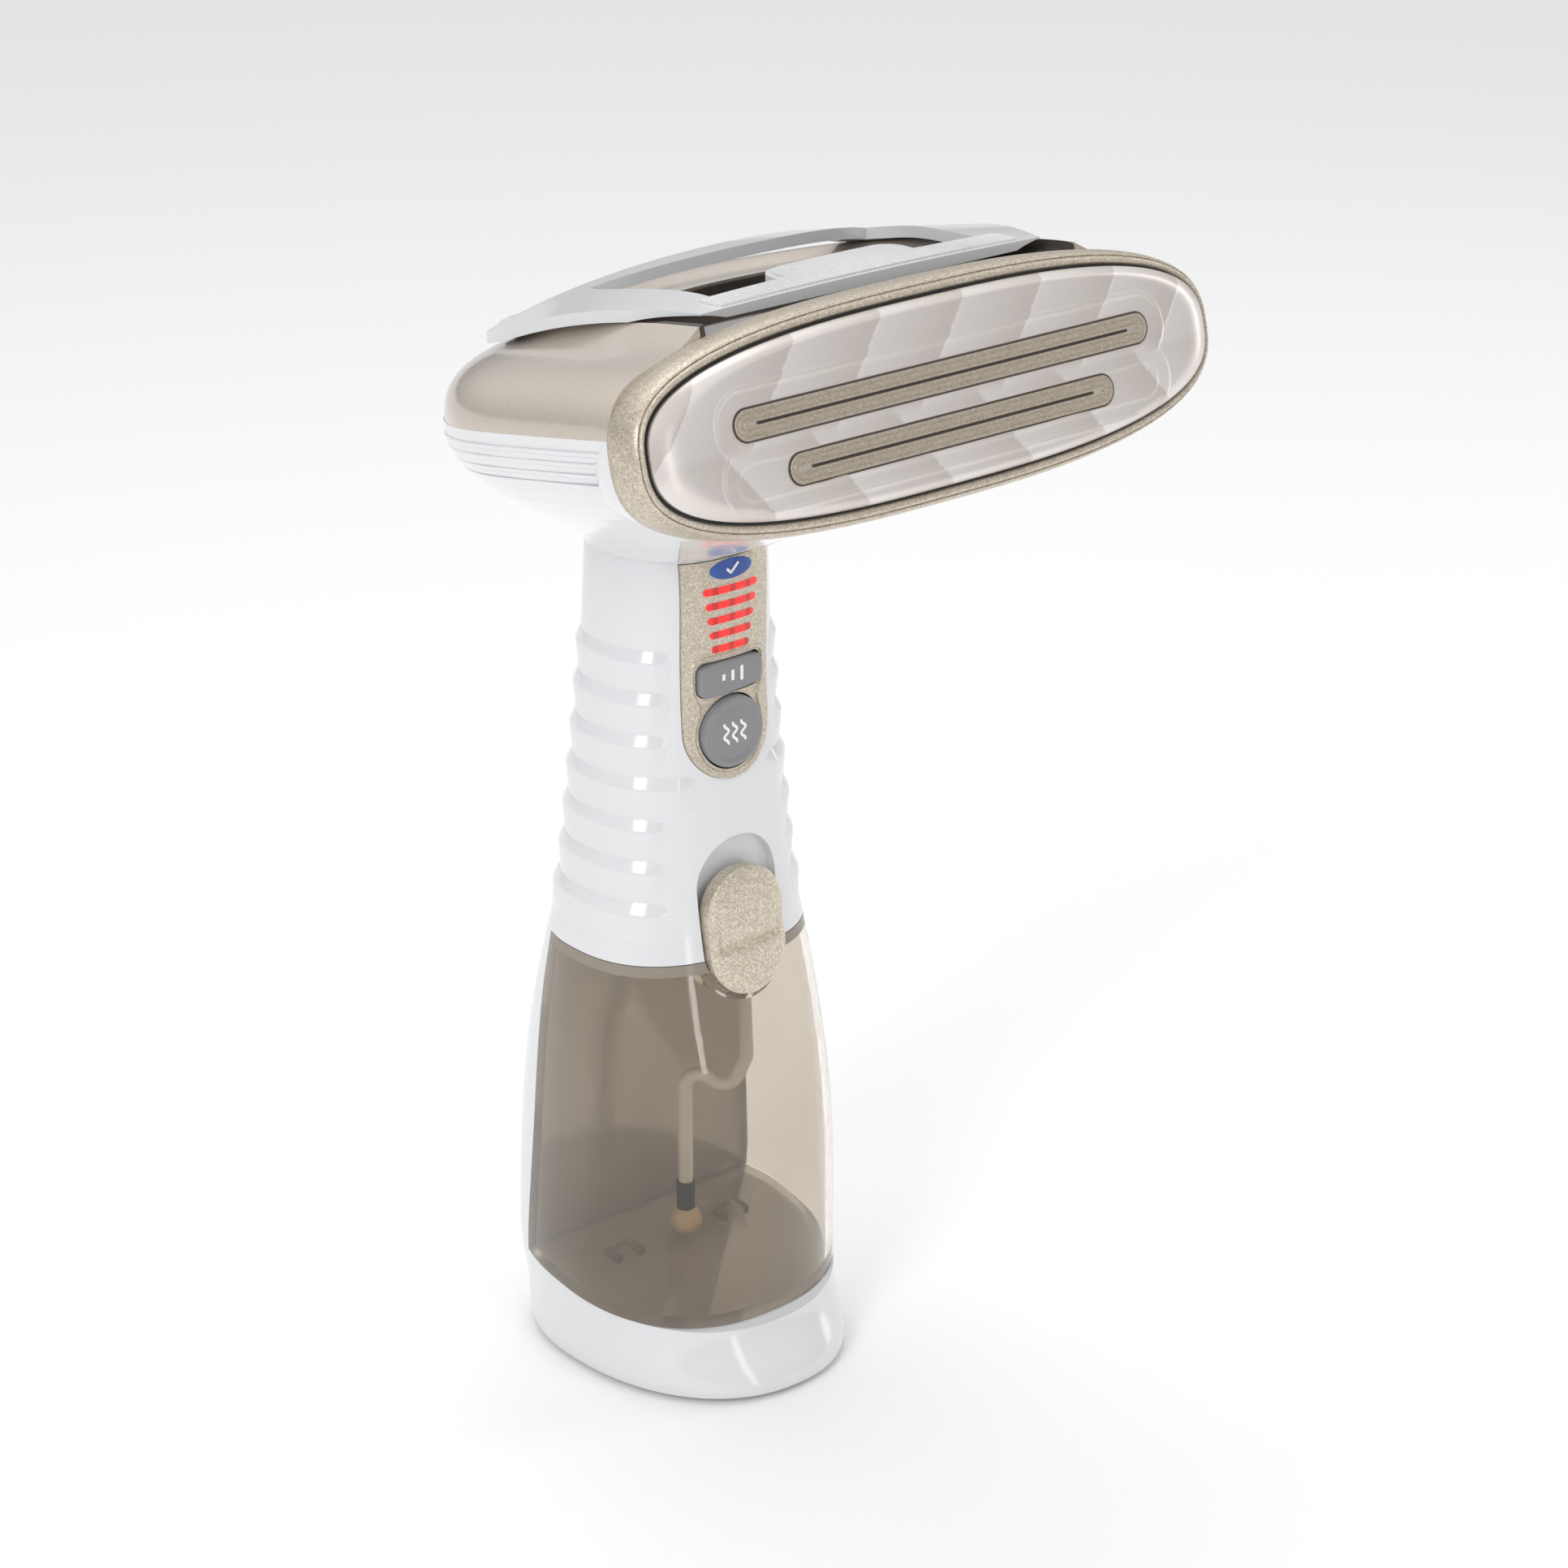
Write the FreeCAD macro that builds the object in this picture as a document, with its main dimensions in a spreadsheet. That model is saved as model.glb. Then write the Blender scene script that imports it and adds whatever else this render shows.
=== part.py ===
import FreeCAD, Part

import math
import os

from FreeCAD import Placement, Rotation, Vector

# Hand-held garment steamer, standing on its foot. Millimetres, +Z up, +Y to the
# rear, steam plate facing -Y, origin on the floor under the middle of the box.

doc = FreeCAD.newDocument("garment_steamer")
sheet = doc.addObject("Spreadsheet::Sheet", "Sizes")

DIMENSIONS = [
    # foot, tank and handle: heights up the body axis
    ("axis_y", 35.9, "body axis, behind the origin"),
    ("deck_z", 27.0, "tank deck height on the axis"),
    ("deck_slope", 0.15, "fall of the deck towards the front"),
    ("tank_height", 104.0, "deck to the lower edge of the handle"),
    ("handle_height", 115.0, "lower edge of the handle to the neck"),
    ("shell_wall", 2.4, "wall of the moulded casing"),
    ("fit_gap", 0.3, "clearance between casing pieces that move apart"),
    ("seam_low_y", 55.0, "seam between front and rear shells at the deck"),
    ("seam_high_y", 45.5, "the same seam at the neck"),
    # plan half-sizes: side, front, rear
    ("foot_side", 41.0, "foot half width"),
    ("foot_front", 54.9, "foot reach in front of the axis"),
    ("foot_rear", 44.8, "foot reach behind the axis"),
    ("tank_side", 42.0, "tank half width"),
    ("tank_front", 43.2, "tank reach in front of the axis"),
    ("tank_rear", 45.6, "spine reach behind the axis"),
    ("edge_side", 36.0, "half width at the handle's lower edge"),
    ("edge_front", 31.4, "front reach there"),
    ("edge_rear", 32.0, "rear reach there"),
    ("waist_side", 28.5, "half width by the buttons"),
    ("waist_front", 24.6, "front reach by the buttons"),
    ("waist_rear", 22.0, "rear reach by the buttons"),
    ("neck_side", 24.5, "half width at the neck"),
    ("neck_rear", 20.0, "rear reach at the neck"),
    # tank
    ("tank_wall", 2.2, "tank wall"),
    ("tank_lid_thick", 3.0, "tank lid"),
    ("plug_radius", 8.0, "fill plug"),
    ("tube_radius", 2.2, "water tube outside"),
    ("tube_bore", 1.3, "water tube bore radius"),
    ("ball_radius", 4.7, "weighted filter"),
    # latch
    ("latch_width", 27.0, "release latch"),
    ("latch_length", 37.0, "release latch"),
    ("latch_low_z", -11.5, "lower end of the latch, from the handle's lower edge"),
    ("latch_travel", 7.0, "upward travel"),
    ("latch_gap", 0.6, "clearance round the latch"),
    # control panel, heights from the neck
    ("panel_width", 30.0, "control panel"),
    ("panel_low_z", -64.5, "control panel lower end"),
    ("steam_radius", 10.5, "steam button"),
    ("steam_z", -51.0, "steam button centre"),
    ("steam_travel", 1.2, "steam button travel"),
    ("setting_width", 22.0, "setting button"),
    ("setting_height", 9.6, "setting button"),
    ("setting_z", -34.7, "setting button centre"),
    ("setting_travel", 0.8, "setting button travel"),
    ("button_gap", 0.35, "clearance round a button"),
    ("bar_height", 2.0, "indicator bar"),
    ("bar_pitch", 4.25, "indicator bars"),
    ("bar_low_z", -26.2, "lowest indicator bar"),
    ("bar_long", 18.8, "top bar"),
    ("bar_short", 13.0, "lowest bar"),
    ("ready_width", 14.5, "ready lens"),
    ("ready_height", 5.6, "ready lens"),
    ("ready_z", -3.6, "ready lens centre"),
    # steam plate and bezel, in the plate's own tilted frame; height from the neck
    ("plate_z", 66.0, "plate centre height"),
    ("plate_y", -75.1, "plate centre depth"),
    ("plate_tilt", 14.1, "plate leans back, degrees"),
    ("plate_side", 93.0, "plate half width"),
    ("plate_rise", 23.7, "plate half height"),
    ("plate_thick", 4.0, "plate face to back"),
    ("bezel_side", 97.0, "bezel half width"),
    ("bezel_rise", 28.6, "bezel half height"),
    ("bezel_depth", 15.0, "plate face to the bezel's back edge"),
    ("bar_width", 8.0, "nozzle bar"),
    ("upper_bar_half", 69.5, "upper nozzle bar half length"),
    ("lower_bar_half", 54.7, "lower nozzle bar half length"),
    ("upper_bar_v", 3.7, "upper bar above the plate centre"),
    ("lower_bar_v", -9.8, "lower bar below the plate centre"),
    ("slit_width", 0.8, "steam slit"),
    # head casing, seam height from the neck
    ("seam_z", 68.0, "hood seam at the bezel"),
    ("seam_y", -59.5, "depth where seam_z is taken"),
    ("seam_fall", 10.5, "seam falls to the rear, degrees"),
    ("head_side", 96.0, "head half width"),
    ("head_rear", 66.0, "head reach behind the head centre"),
    ("head_centre_y", -11.5, "widest line of the head"),
    ("hood_height", 22.5, "hood above the seam"),
    # top frame, heights from the neck
    ("frame_half", 57.0, "front rail half length"),
    ("frame_front_y", -47.3, "front edge of the front rail"),
    ("frame_z", 90.6, "top of the front rail"),
    ("pin_radius", 1.3, "lever hinge pin"),
    ("pin_y", 25.5, "lever hinge axis depth"),
    ("pin_z", 71.2, "lever hinge axis height"),
    ("pin_gap", 0.05, "running clearance on the pin"),
    # inside
    ("chamber_side", 72.0, "steam chamber half width"),
    ("chamber_rise", 14.5, "steam chamber half height"),
    ("chamber_depth", 16.0, "steam chamber depth"),
    ("chamber_lid_thick", 3.0, "steam chamber lid"),
    ("element_radius", 3.0, "heating element sheath"),
    ("pump_radius", 13.5, "pump coil"),
    ("pump_y", 32.0, "pump axis"),
    ("pump_low_z", 148.0, "underside of the pump coil"),
    ("board_thick", 1.6, "control board"),
    ("board_y", 20.5, "front face of the board"),
    ("screw_radius", 1.5, "casing screw shank"),
    ("foot_pad_radius", 5.0, "rubber foot"),
    ("foot_pad_height", 2.0, "rubber foot"),
    ("cord_bore", 3.6, "cord inlet bore radius"),
    ("inlet_length", 12.0, "cord inlet bushing length"),
]
for row, (alias, number, note) in enumerate(DIMENSIONS, start=1):
    sheet.set("A%d" % row, note)
    sheet.set("B%d" % row, str(number))
    sheet.setAlias("B%d" % row, alias)
doc.recompute()

SUBPARTS = []
RECESS_WALL = 1.6
WIRE_Y = 62.0
LATCH_LEAN = 7.0


def size(alias):
    """Read one driving dimension from the sheet."""
    return float(sheet.get(alias))


def keep(item, label):
    """Give an object its sub-part label and list it for export."""
    item.Label = label
    SUBPARTS.append(item)
    return item


def shaped(label, shape):
    """A sub-part whose form only Part's own functions can make."""
    item = doc.addObject("Part::Feature", "S_" + label)
    item.Shape = shape
    item.Placement = shape.Placement
    return keep(item, label)


def primitive(kind, name, at=(0, 0, 0), turn=None, **sizes):
    """A Part primitive whose sizes are expressions on the sheet."""
    item = doc.addObject("Part::" + kind, name)
    for key, rule in sizes.items():
        item.setExpression(key, rule)
    item.Placement = Placement(Vector(*at), turn or Rotation())
    return item


def boolean(kind, name, base, tool):
    """A Part::Cut, Part::Fuse or Part::Common of two objects."""
    item = doc.addObject("Part::" + kind, name)
    item.Base = base
    item.Tool = tool
    return item


# ---------------------------------------------------------------- plan curves

def quarter(side, reach, power, count):
    """Points of one superellipse quarter, evenly spaced along its length."""
    fine = 240
    dense = []
    for step in range(fine + 1):
        angle = math.pi / 2 * step / fine
        x = side * math.cos(angle) ** (2 / power)
        y = reach * math.sin(angle) ** (2 / power)
        dense.append((x, y))
    run = [0.0]
    for before, after in zip(dense, dense[1:]):
        run.append(run[-1] + math.dist(before, after))
    points = []
    place = 0
    for step in range(count):
        goal = run[-1] * step / count
        while run[place + 1] < goal:
            place += 1
        share = (goal - run[place]) / (run[place + 1] - run[place])
        (x0, y0), (x1, y1) = dense[place], dense[place + 1]
        points.append((x0 + (x1 - x0) * share, y0 + (y1 - y0) * share))
    return points


def oval(side, front, rear, power_front=2.4, power_rear=2.4, count=9):
    """Closed plan outline: a superellipse with its own front and rear reach."""
    back = quarter(side, rear, power_rear, count)
    nose = quarter(side, front, power_front, count)
    tip_back, tip_nose = (0.0, rear), (0.0, front)
    points = list(back) + [tip_back]
    points += [(-x, y) for x, y in reversed(back)]
    points += [(-x, -y) for x, y in nose[1:]] + [(0.0, -tip_nose[1])]
    points += [(x, -y) for x, y in reversed(nose[1:])]
    return points


def closed_wire(points):
    """One smooth closed curve through the points."""
    curve = Part.BSplineCurve()
    curve.interpolate(Points=points, PeriodicFlag=True)
    return Part.Wire([curve.toShape()])


def loft(wires, ruled=False):
    """Solid through closed wires."""
    return Part.makeLoft(wires, True, ruled)


def between(rows, share):
    """Row of numbers at a share of the way through a list of rows, on a smooth curve."""
    last = len(rows) - 1
    place = min(int(share * last), last - 1)
    along = share * last - place
    before, start, end, after = (rows[min(max(place + step, 0), last)] for step in (-1, 0, 1, 2))
    mixed = []
    for a, b, c, d in zip(before, start, end, after):
        bend = 2 * a - 5 * b + 4 * c - d
        twist = 3 * b - a - 3 * c + d
        mixed.append(b + along * (c - a + along * (bend + along * twist)) / 2)
    return mixed


def half_space(origin, normal, reach=500.0):
    """A large block filling the side of a plane that its normal points to."""
    block = Part.makeBox(2 * reach, 2 * reach, reach, Vector(-reach, -reach, 0))
    turn = Rotation(Vector(0, 0, 1), Vector(*normal))
    block.Placement = Placement(Vector(*origin), turn)
    return block


def capsule(length, width):
    """Face of a stadium outline centred on its own XY plane, long side on X."""
    radius = width / 2
    reach = max(length / 2 - radius, 0.01)
    corners = [Vector(-reach, -radius, 0), Vector(reach, -radius, 0),
               Vector(reach, radius, 0), Vector(-reach, radius, 0)]
    low = Part.makeLine(corners[0], corners[1])
    right = Part.Arc(corners[1], Vector(reach + radius, 0, 0), corners[2]).toShape()
    high = Part.makeLine(corners[2], corners[3])
    left = Part.Arc(corners[3], Vector(-reach - radius, 0, 0), corners[0]).toShape()
    return Part.Face(Part.Wire([low, right, high, left]))


def rounded(width, height, radius):
    """Face of a rounded rectangle centred on its own XY plane."""
    plain = Part.makePlane(width, height, Vector(-width / 2, -height / 2, 0))
    solid = plain.extrude(Vector(0, 0, 1))
    upright = [edge for edge in solid.Edges if abs(edge.tangentAt(0).z) > 0.9]
    solid = solid.makeFillet(min(radius, 0.49 * min(width, height)), upright)
    return next(face for face in solid.Faces if abs(face.CenterOfMass.z) < 1e-6)


def facing_front(face, x, z, y_from, y_to):
    """Extrude a face drawn in X and Z along the depth of the body."""
    turned = face.copy()
    turned.Placement = Placement(Vector(x, y_to, z), Rotation(Vector(1, 0, 0), 90))
    return turned.extrude(Vector(0, y_from - y_to, 0))


def pipe(points, radius, bend, bore=0.0):
    """Tube along straight runs joined by tangent arcs."""
    nodes = [Vector(*point) for point in points]
    edges = []
    start = nodes[0]
    for before, corner, after in zip(nodes, nodes[1:], nodes[2:]):
        into = (corner - before).normalize()
        out = (after - corner).normalize()
        turn = into.getAngle(out)
        trim = bend * math.tan(turn / 2)
        first = corner - into * trim
        last = corner + out * trim
        bisector = (out - into).normalize()
        middle = corner + bisector * (bend / math.cos(turn / 2) - bend)
        edges.append(Part.LineSegment(start, first).toShape())
        edges.append(Part.Arc(first, middle, last).toShape())
        start = last
    edges.append(Part.LineSegment(start, nodes[-1]).toShape())
    path = Part.Wire(edges)
    along = (nodes[1] - nodes[0]).normalize()

    def swept(ring):
        profile = Part.Wire([Part.Circle(nodes[0], along, ring).toShape()])
        return path.makePipeShell([profile], True, False)

    tube = swept(radius)
    return tube.cut(swept(bore)) if bore else tube


# --------------------------------------------------- lofted body, foot to neck

deck_z = size("deck_z")
edge_z = deck_z + size("tank_height")
neck_z = edge_z + size("handle_height")
axis_y = size("axis_y")
gap = size("fit_gap")
wall = size("shell_wall")


def from_neck(alias):
    """Height above the floor of a place whose height the sheet gives from the neck."""
    return neck_z + size(alias)


def body_stations():
    """Height, side, front and rear reach of the body, from the deck to the neck."""
    tank = size("tank_height")
    grip = size("handle_height")
    waist = (size("waist_side"), size("waist_front"), size("waist_rear"))
    neck = (size("neck_side"), size("waist_front"), size("neck_rear"))
    edge = (size("edge_side"), size("edge_front"), size("edge_rear"))
    low = (size("tank_side"), size("tank_front"), size("tank_rear"))
    drop = 10.0

    def mix(first, second, share):
        return tuple(a + (b - a) * share for a, b in zip(first, second))

    return [
        (deck_z - drop, *mix(low, low, 0)),
        (deck_z + 0.32 * tank, *low),
        (deck_z + 0.70 * tank, *mix(low, edge, 0.38)),
        (edge_z, *edge),
        (edge_z + 0.16 * grip, *mix(edge, waist, 0.42)),
        (edge_z + 0.36 * grip, *mix(edge, waist, 0.72)),
        (edge_z + 0.565 * grip, *waist),
        (edge_z + 0.78 * grip, *mix(waist, neck, 0.6)),
        (neck_z, *neck),
    ]


def body(offset=0.0):
    """Outer form of tank and handle, grown outwards by an offset."""
    wires = []
    for z, side, front, rear in body_stations():
        plan = oval(side + offset, front + offset, rear + offset)
        wires.append(closed_wire([Vector(x, axis_y + y, z) for x, y in plan]))
    return loft(wires)


slope = size("deck_slope")
deck_up = (0, -slope, 1)
seam_lean = (size("seam_high_y") - size("seam_low_y")) / (neck_z - deck_z)
seam_normal = (0, 1, -seam_lean)
seam_at = (0, size("seam_low_y"), deck_z)


def shifted(origin, normal, distance):
    """A plane's origin moved along its normal."""
    step = Vector(*normal).normalize() * distance
    return tuple(Vector(*origin) + step)


body_solid = body()
body_inner = body(-wall)
above_deck = half_space((0, axis_y, deck_z), deck_up)
behind_seam = half_space(seam_at, seam_normal)
above_edge = half_space((0, 0, edge_z), (0, 0, 1))

# ------------------------------------------------------------------ head frame

tilt = math.radians(size("plate_tilt"))
plate_origin = Vector(0, size("plate_y"), from_neck("plate_z"))
plate_up = Vector(0, math.sin(tilt), math.cos(tilt))
plate_back = Vector(0, math.cos(tilt), -math.sin(tilt))


def head_point(u, v, w):
    """Point at u across, v up and w behind the plate face."""
    return plate_origin + Vector(u, 0, 0) + plate_up * v + plate_back * w


def head_oval(side, rise, w, power=2.78):
    """Closed wire round the head axis, w behind the plate face."""
    plan = oval(side, rise, rise, power, power)
    return closed_wire([head_point(u, v, w) for u, v in plan])


def head_prism(side, rise, w0, w1, power=2.78):
    """Straight block with the plate's outline."""
    return loft([head_oval(side, rise, w0, power), head_oval(side, rise, w1, power)])


def into_head(face, u, v, w0, w1):
    """Extrude a face drawn across and up the plate, from w0 to w1 behind it."""
    turned = face.copy()
    up = Rotation(Vector(1, 0, 0), 90 - size("plate_tilt"))
    turned.Placement = Placement(head_point(u, v, w0), up)
    return turned.extrude(plate_back * (w1 - w0))


bezel_depth = size("bezel_depth")
behind_bezel = half_space(tuple(head_point(0, 0, bezel_depth)), tuple(plate_back))

fall = math.radians(size("seam_fall"))
seam_out = Vector(0, math.cos(fall), -math.sin(fall))
seam_up = Vector(0, math.sin(fall), math.cos(fall))
head_mid = size("head_centre_y")
seam_centre = Vector(0, head_mid, from_neck("seam_z") - (head_mid - size("seam_y")) * math.tan(fall))


def head_plan(height, side, front, rear, nose, tail=2.2):
    """Closed wire parallel to the hood seam, at a height above it."""
    plan = oval(side, front, rear, nose, tail)
    origin = seam_centre + seam_up * height
    return closed_wire([origin + Vector(x, 0, 0) + seam_out * y for x, y in plan])


def hood_solid(offset=0.0):
    """Dome above the hood seam."""
    rise = size("hood_height") + offset
    side = size("head_side") + offset
    rear = size("head_rear") + offset
    wires = []
    for height in (-2.0, 0.0, 0.35 * rise, 0.6 * rise, 0.8 * rise, 0.93 * rise):
        share = (1 - (max(height, 0) / rise) ** 2.6) ** (1 / 2.6)
        wires.append(head_plan(height, side * share, 85.0, rear * share, 5.0))
    return loft(wires)


def collar_solid(offset=0.0):
    """Mouth of the lower head casing, which carries the bezel and shrinks behind it."""
    wide, tall = size("bezel_side") + offset, size("bezel_rise") + offset
    wires = [head_oval(wide - inset, tall - drop, bezel_depth + back)
             for inset, drop, back in ((0.9, 0.9, -1.0), (2.5, 1.6, 7.0), (8.0, 4.0, 17.0),
                                       (22.0, 9.0, 30.0))]
    return loft(wires)


def bowl_solid(offset=0.0):
    """Lower head casing, from the seam down to the neck."""
    side = size("head_side") + offset
    tail_y = head_mid + size("head_rear") + offset
    neck_tail = axis_y + size("neck_rear") + offset
    # drop below the seam, slope, half width, front y, rear y, nose power
    levels = [
        (0.0, 1.0, side, -97.0, tail_y, 5.0),
        (9.0, 1.0, side - 3.4, -95.0, tail_y, 4.4),
        (22.0, 0.95, side - 17.3, -78.0 - offset, tail_y, 3.4),
        (36.0, 0.75, side - 40.8, -46.5 - offset, neck_tail + 1.0, 2.8),
        (48.0, 0.40, side - 60.5, -14.0 - offset, neck_tail + 0.8, 2.5),
        (seam_centre.z - neck_z, 0.0, size("neck_side") + offset,
         axis_y - size("waist_front") - offset, neck_tail, 2.4),
    ]
    wires = [head_plan(4.0, side, 85.5, tail_y - head_mid, 5.0)]
    steps = 15
    for step in range(steps + 1):
        drop, lean, half, front_y, rear_y, nose = between(levels, step / steps)
        share = step / steps
        middle = head_mid + (axis_y - head_mid) * max(0.0, 5 * share - 3) / 2
        tail = 2.2 + 0.2 * share
        plan = oval(half, middle - front_y, rear_y - middle, nose, tail)
        z = seam_centre.z - drop
        grade = -math.tan(fall) * lean
        wires.append(closed_wire([Vector(x, middle + y, z + grade * (middle + y - head_mid))
                                  for x, y in plan]))
    return loft(wires, True).fuse(collar_solid(offset))


# ------------------------------------------------------------------- sub-parts

def make_foot():
    """Base shell, bottom cover, rubber feet, screws and cord inlet."""
    pad = size("foot_pad_height")
    rise = 1.0
    cover = 2.5

    def foot(offset):
        levels = [
            (pad - rise, 0.972, 0.0),
            (pad + 2.0, 0.995, 0.04),
            (pad + 8.0, 1.0, 0.28),
            (pad + 16.0, 1.0, 0.68),
            (deck_z + 8.0, 1.0, 1.0),
        ]
        low = (size("foot_side"), size("foot_front"), size("foot_rear"))
        top = (size("tank_side"), size("tank_front"), size("tank_rear"))
        wires = []
        for z, scale, share in levels:
            reach = [(a * scale + (b - a * scale) * share) + offset for a, b in zip(low, top)]
            plan = oval(*reach, 2.2, 2.3)
            wires.append(closed_wire([Vector(x, axis_y + y, z) for x, y in plan]))
        return loft(wires)

    outer = foot(0.0)
    inner = foot(-wall)
    under_deck = half_space((0, axis_y, deck_z), (0, slope, -1))
    under_skin = half_space((0, axis_y, deck_z - wall), (0, slope, -1))
    floor = half_space((0, 0, pad), (0, 0, 1))
    shell = outer.common(under_deck).common(floor)
    shell = shell.cut(inner.common(under_skin)).cut(wire_hole())

    inlet_z = pad + 10.2
    rear_y = axis_y + size("tank_rear")
    barrel = size("cord_bore") + 2.2
    length = size("inlet_length")
    proud = 0.55
    start = Vector(0, rear_y - length + proud, inlet_z)
    along = Vector(0, 1, 0)
    shell = shell.cut(Part.makeCylinder(barrel + 0.05, length * 2, start, along))
    flange = Part.makeCylinder(barrel + 1.6, 2.0, start, along)
    bushing = Part.makeCylinder(barrel, length, start, along).fuse(flange)
    bushing = bushing.cut(Part.makeCylinder(size("cord_bore"), length, start, along))
    shell = shell.cut(Part.makeCylinder(barrel + 1.65, 2.1, start, along))
    shaped("cord_inlet_bushing", bushing)

    plate = foot(-wall - 0.2)
    slab = plate.common(floor).cut(half_space((0, 0, pad + cover), (0, 0, 1)))
    places = [(x, axis_y + y) for x in (-22.0, 22.0) for y in (-24.0, 22.0)]
    bosses = []
    for x, y in places:
        top = deck_z + slope * (y - axis_y) - wall - 0.2
        post = Part.makeCylinder(4.0, top - pad - cover, Vector(x, y, pad + cover))
        hole = Part.makeCylinder(size("screw_radius"), 9.0, Vector(x, y, pad + cover))
        bosses.append(post.cut(hole))
        slab = slab.cut(Part.makeCylinder(size("screw_radius") + 0.2, 20, Vector(x, y, 0)))
        slab = slab.cut(Part.makeCylinder(3.2, 1.6, Vector(x, y, pad)))
    for post in bosses:
        shell = shell.fuse(post)
    shaped("base_shell", shell)
    shaped("base_cover", slab)

    screws = []
    for x, y in places:
        shank = Part.makeCylinder(size("screw_radius") - 0.05, cover + 6.0,
                                  Vector(x, y, pad + 0.2))
        head = Part.makeCylinder(2.8, 1.3, Vector(x, y, pad + 0.2))
        screws.append(shank.fuse(head))
    shaped("base_screws", Part.makeCompound(screws))

    # front pads sit close together under the toe, rear pads wide under the tank
    pads = []
    for x, y in [(-12.0, -42.5), (12.0, -42.5), (-28.0, 14.0), (28.0, 14.0)]:
        pads.append(Part.makeCylinder(size("foot_pad_radius"), pad, Vector(x, axis_y + y, 0)))
    shaped("rubber_feet", Part.makeCompound(pads))


def make_handle():
    """Rear shell with its spine, front shell, and their screws."""
    hollow = body_inner.common(half_space((0, 0, edge_z), (0, 0, 1)))
    rear = body_solid.common(behind_seam).common(above_deck)
    spine_hollow = body_inner.common(half_space(shifted(seam_at, seam_normal, wall), seam_normal))
    spine_hollow = spine_hollow.common(half_space((0, axis_y, deck_z + wall), deck_up))
    rear = rear.cut(spine_hollow).cut(hollow)
    rear = rear.cut(wire_hole())

    y_face = axis_y - size("edge_front") - 20
    middle = latch_middle() + size("latch_travel") / 2
    stretch = size("latch_travel") + 1.0
    margin = 2 * size("latch_gap")
    pocket = facing_front(capsule_upright(margin, stretch), 0, middle, y_face, latch_back_y())
    recess = facing_front(capsule_upright(margin + 2 * RECESS_WALL, stretch), 0, middle,
                          y_face, latch_back_y() + RECESS_WALL)
    front = body_solid.common(above_edge).cut(behind_seam)
    front = front.cut(body_inner.cut(recess)).cut(pocket)
    front = front.cut(panel_prism(0.15))

    screws = []
    pilot = size("screw_radius")
    for z, x, deep in ((edge_z + 10.0, 25.5, 12.0), (neck_z - 13.0, 16.0, 9.0)):
        seam_y = size("seam_low_y") + seam_lean * (z - deck_z)
        tail_y = seam_y + 4.2
        for side in (-1, 1):
            block = Part.makeBox(40, 60, 8.0, Vector(-20, seam_y - deep, z - 4.0))
            block.translate(Vector(side * (x + 15.5), 0, 0))
            block = block.common(body_solid)
            along = Vector(0, 1, 0)
            shaft = Part.makeCylinder(pilot, 60, Vector(side * x, seam_y - deep + 1.0, z), along)
            slack = Part.makeCylinder(pilot + 0.2, 60, Vector(side * x, seam_y - 1.0, z), along)
            well = Part.makeCylinder(3.0, 40, Vector(side * x, tail_y - 2.0, z), along)
            front = front.fuse(block.cut(behind_seam).cut(shaft))
            rear = rear.fuse(block.common(behind_seam)).cut(slack).cut(well)
            screw = Part.makeCylinder(pilot - 0.05, deep + 2.0,
                                      Vector(side * x, seam_y - deep + 2.0, z), along)
            head = Part.makeCylinder(2.8, 1.8, Vector(side * x, tail_y - 2.0, z), along)
            screws.append(screw.fuse(head))
    shaped("handle_rear_shell", rear)
    shaped("handle_front_shell", front)
    shaped("handle_screws", Part.makeCompound(screws))


def wire_hole():
    """Passage from the foot up into the spine for the wires."""
    return Part.makeCylinder(6.0, 14.0, Vector(0, WIRE_Y, deck_z - 3.0))


def latch_middle():
    """Height of the latch's centre."""
    return edge_z + size("latch_low_z") + size("latch_length") / 2


def latch_back_y():
    """Depth of the latch recess floor."""
    return axis_y - size("edge_front") + 8.0


def capsule_upright(grow, stretch=0.0):
    """Stadium outline of the latch, standing upright, grown all round."""
    face = capsule(size("latch_length") + stretch + grow, size("latch_width") + grow)
    face.rotate(Vector(0, 0, 0), Vector(0, 0, 1), 90)
    flat = Part.Face(face.Wires[0])
    return flat


def panel_prism(grow):
    """Control panel outline, extruded through the front of the handle."""
    width = size("panel_width") + 2 * grow
    low = from_neck("panel_low_z") - grow
    radius = width / 2
    top = neck_z - 0.6 + grow
    centre = low + radius
    left, right = Vector(-radius, centre, 0), Vector(radius, centre, 0)
    bowl = Part.Arc(left, Vector(0, low, 0), right).toShape()
    sides = [Part.makeLine(right, Vector(radius, top, 0)),
             Part.makeLine(Vector(radius, top, 0), Vector(-radius, top, 0)),
             Part.makeLine(Vector(-radius, top, 0), left)]
    face = Part.Face(Part.Wire([bowl] + sides))
    return facing_front(face, 0, 0, axis_y - size("waist_front") - 15, axis_y - 8.0)


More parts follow.
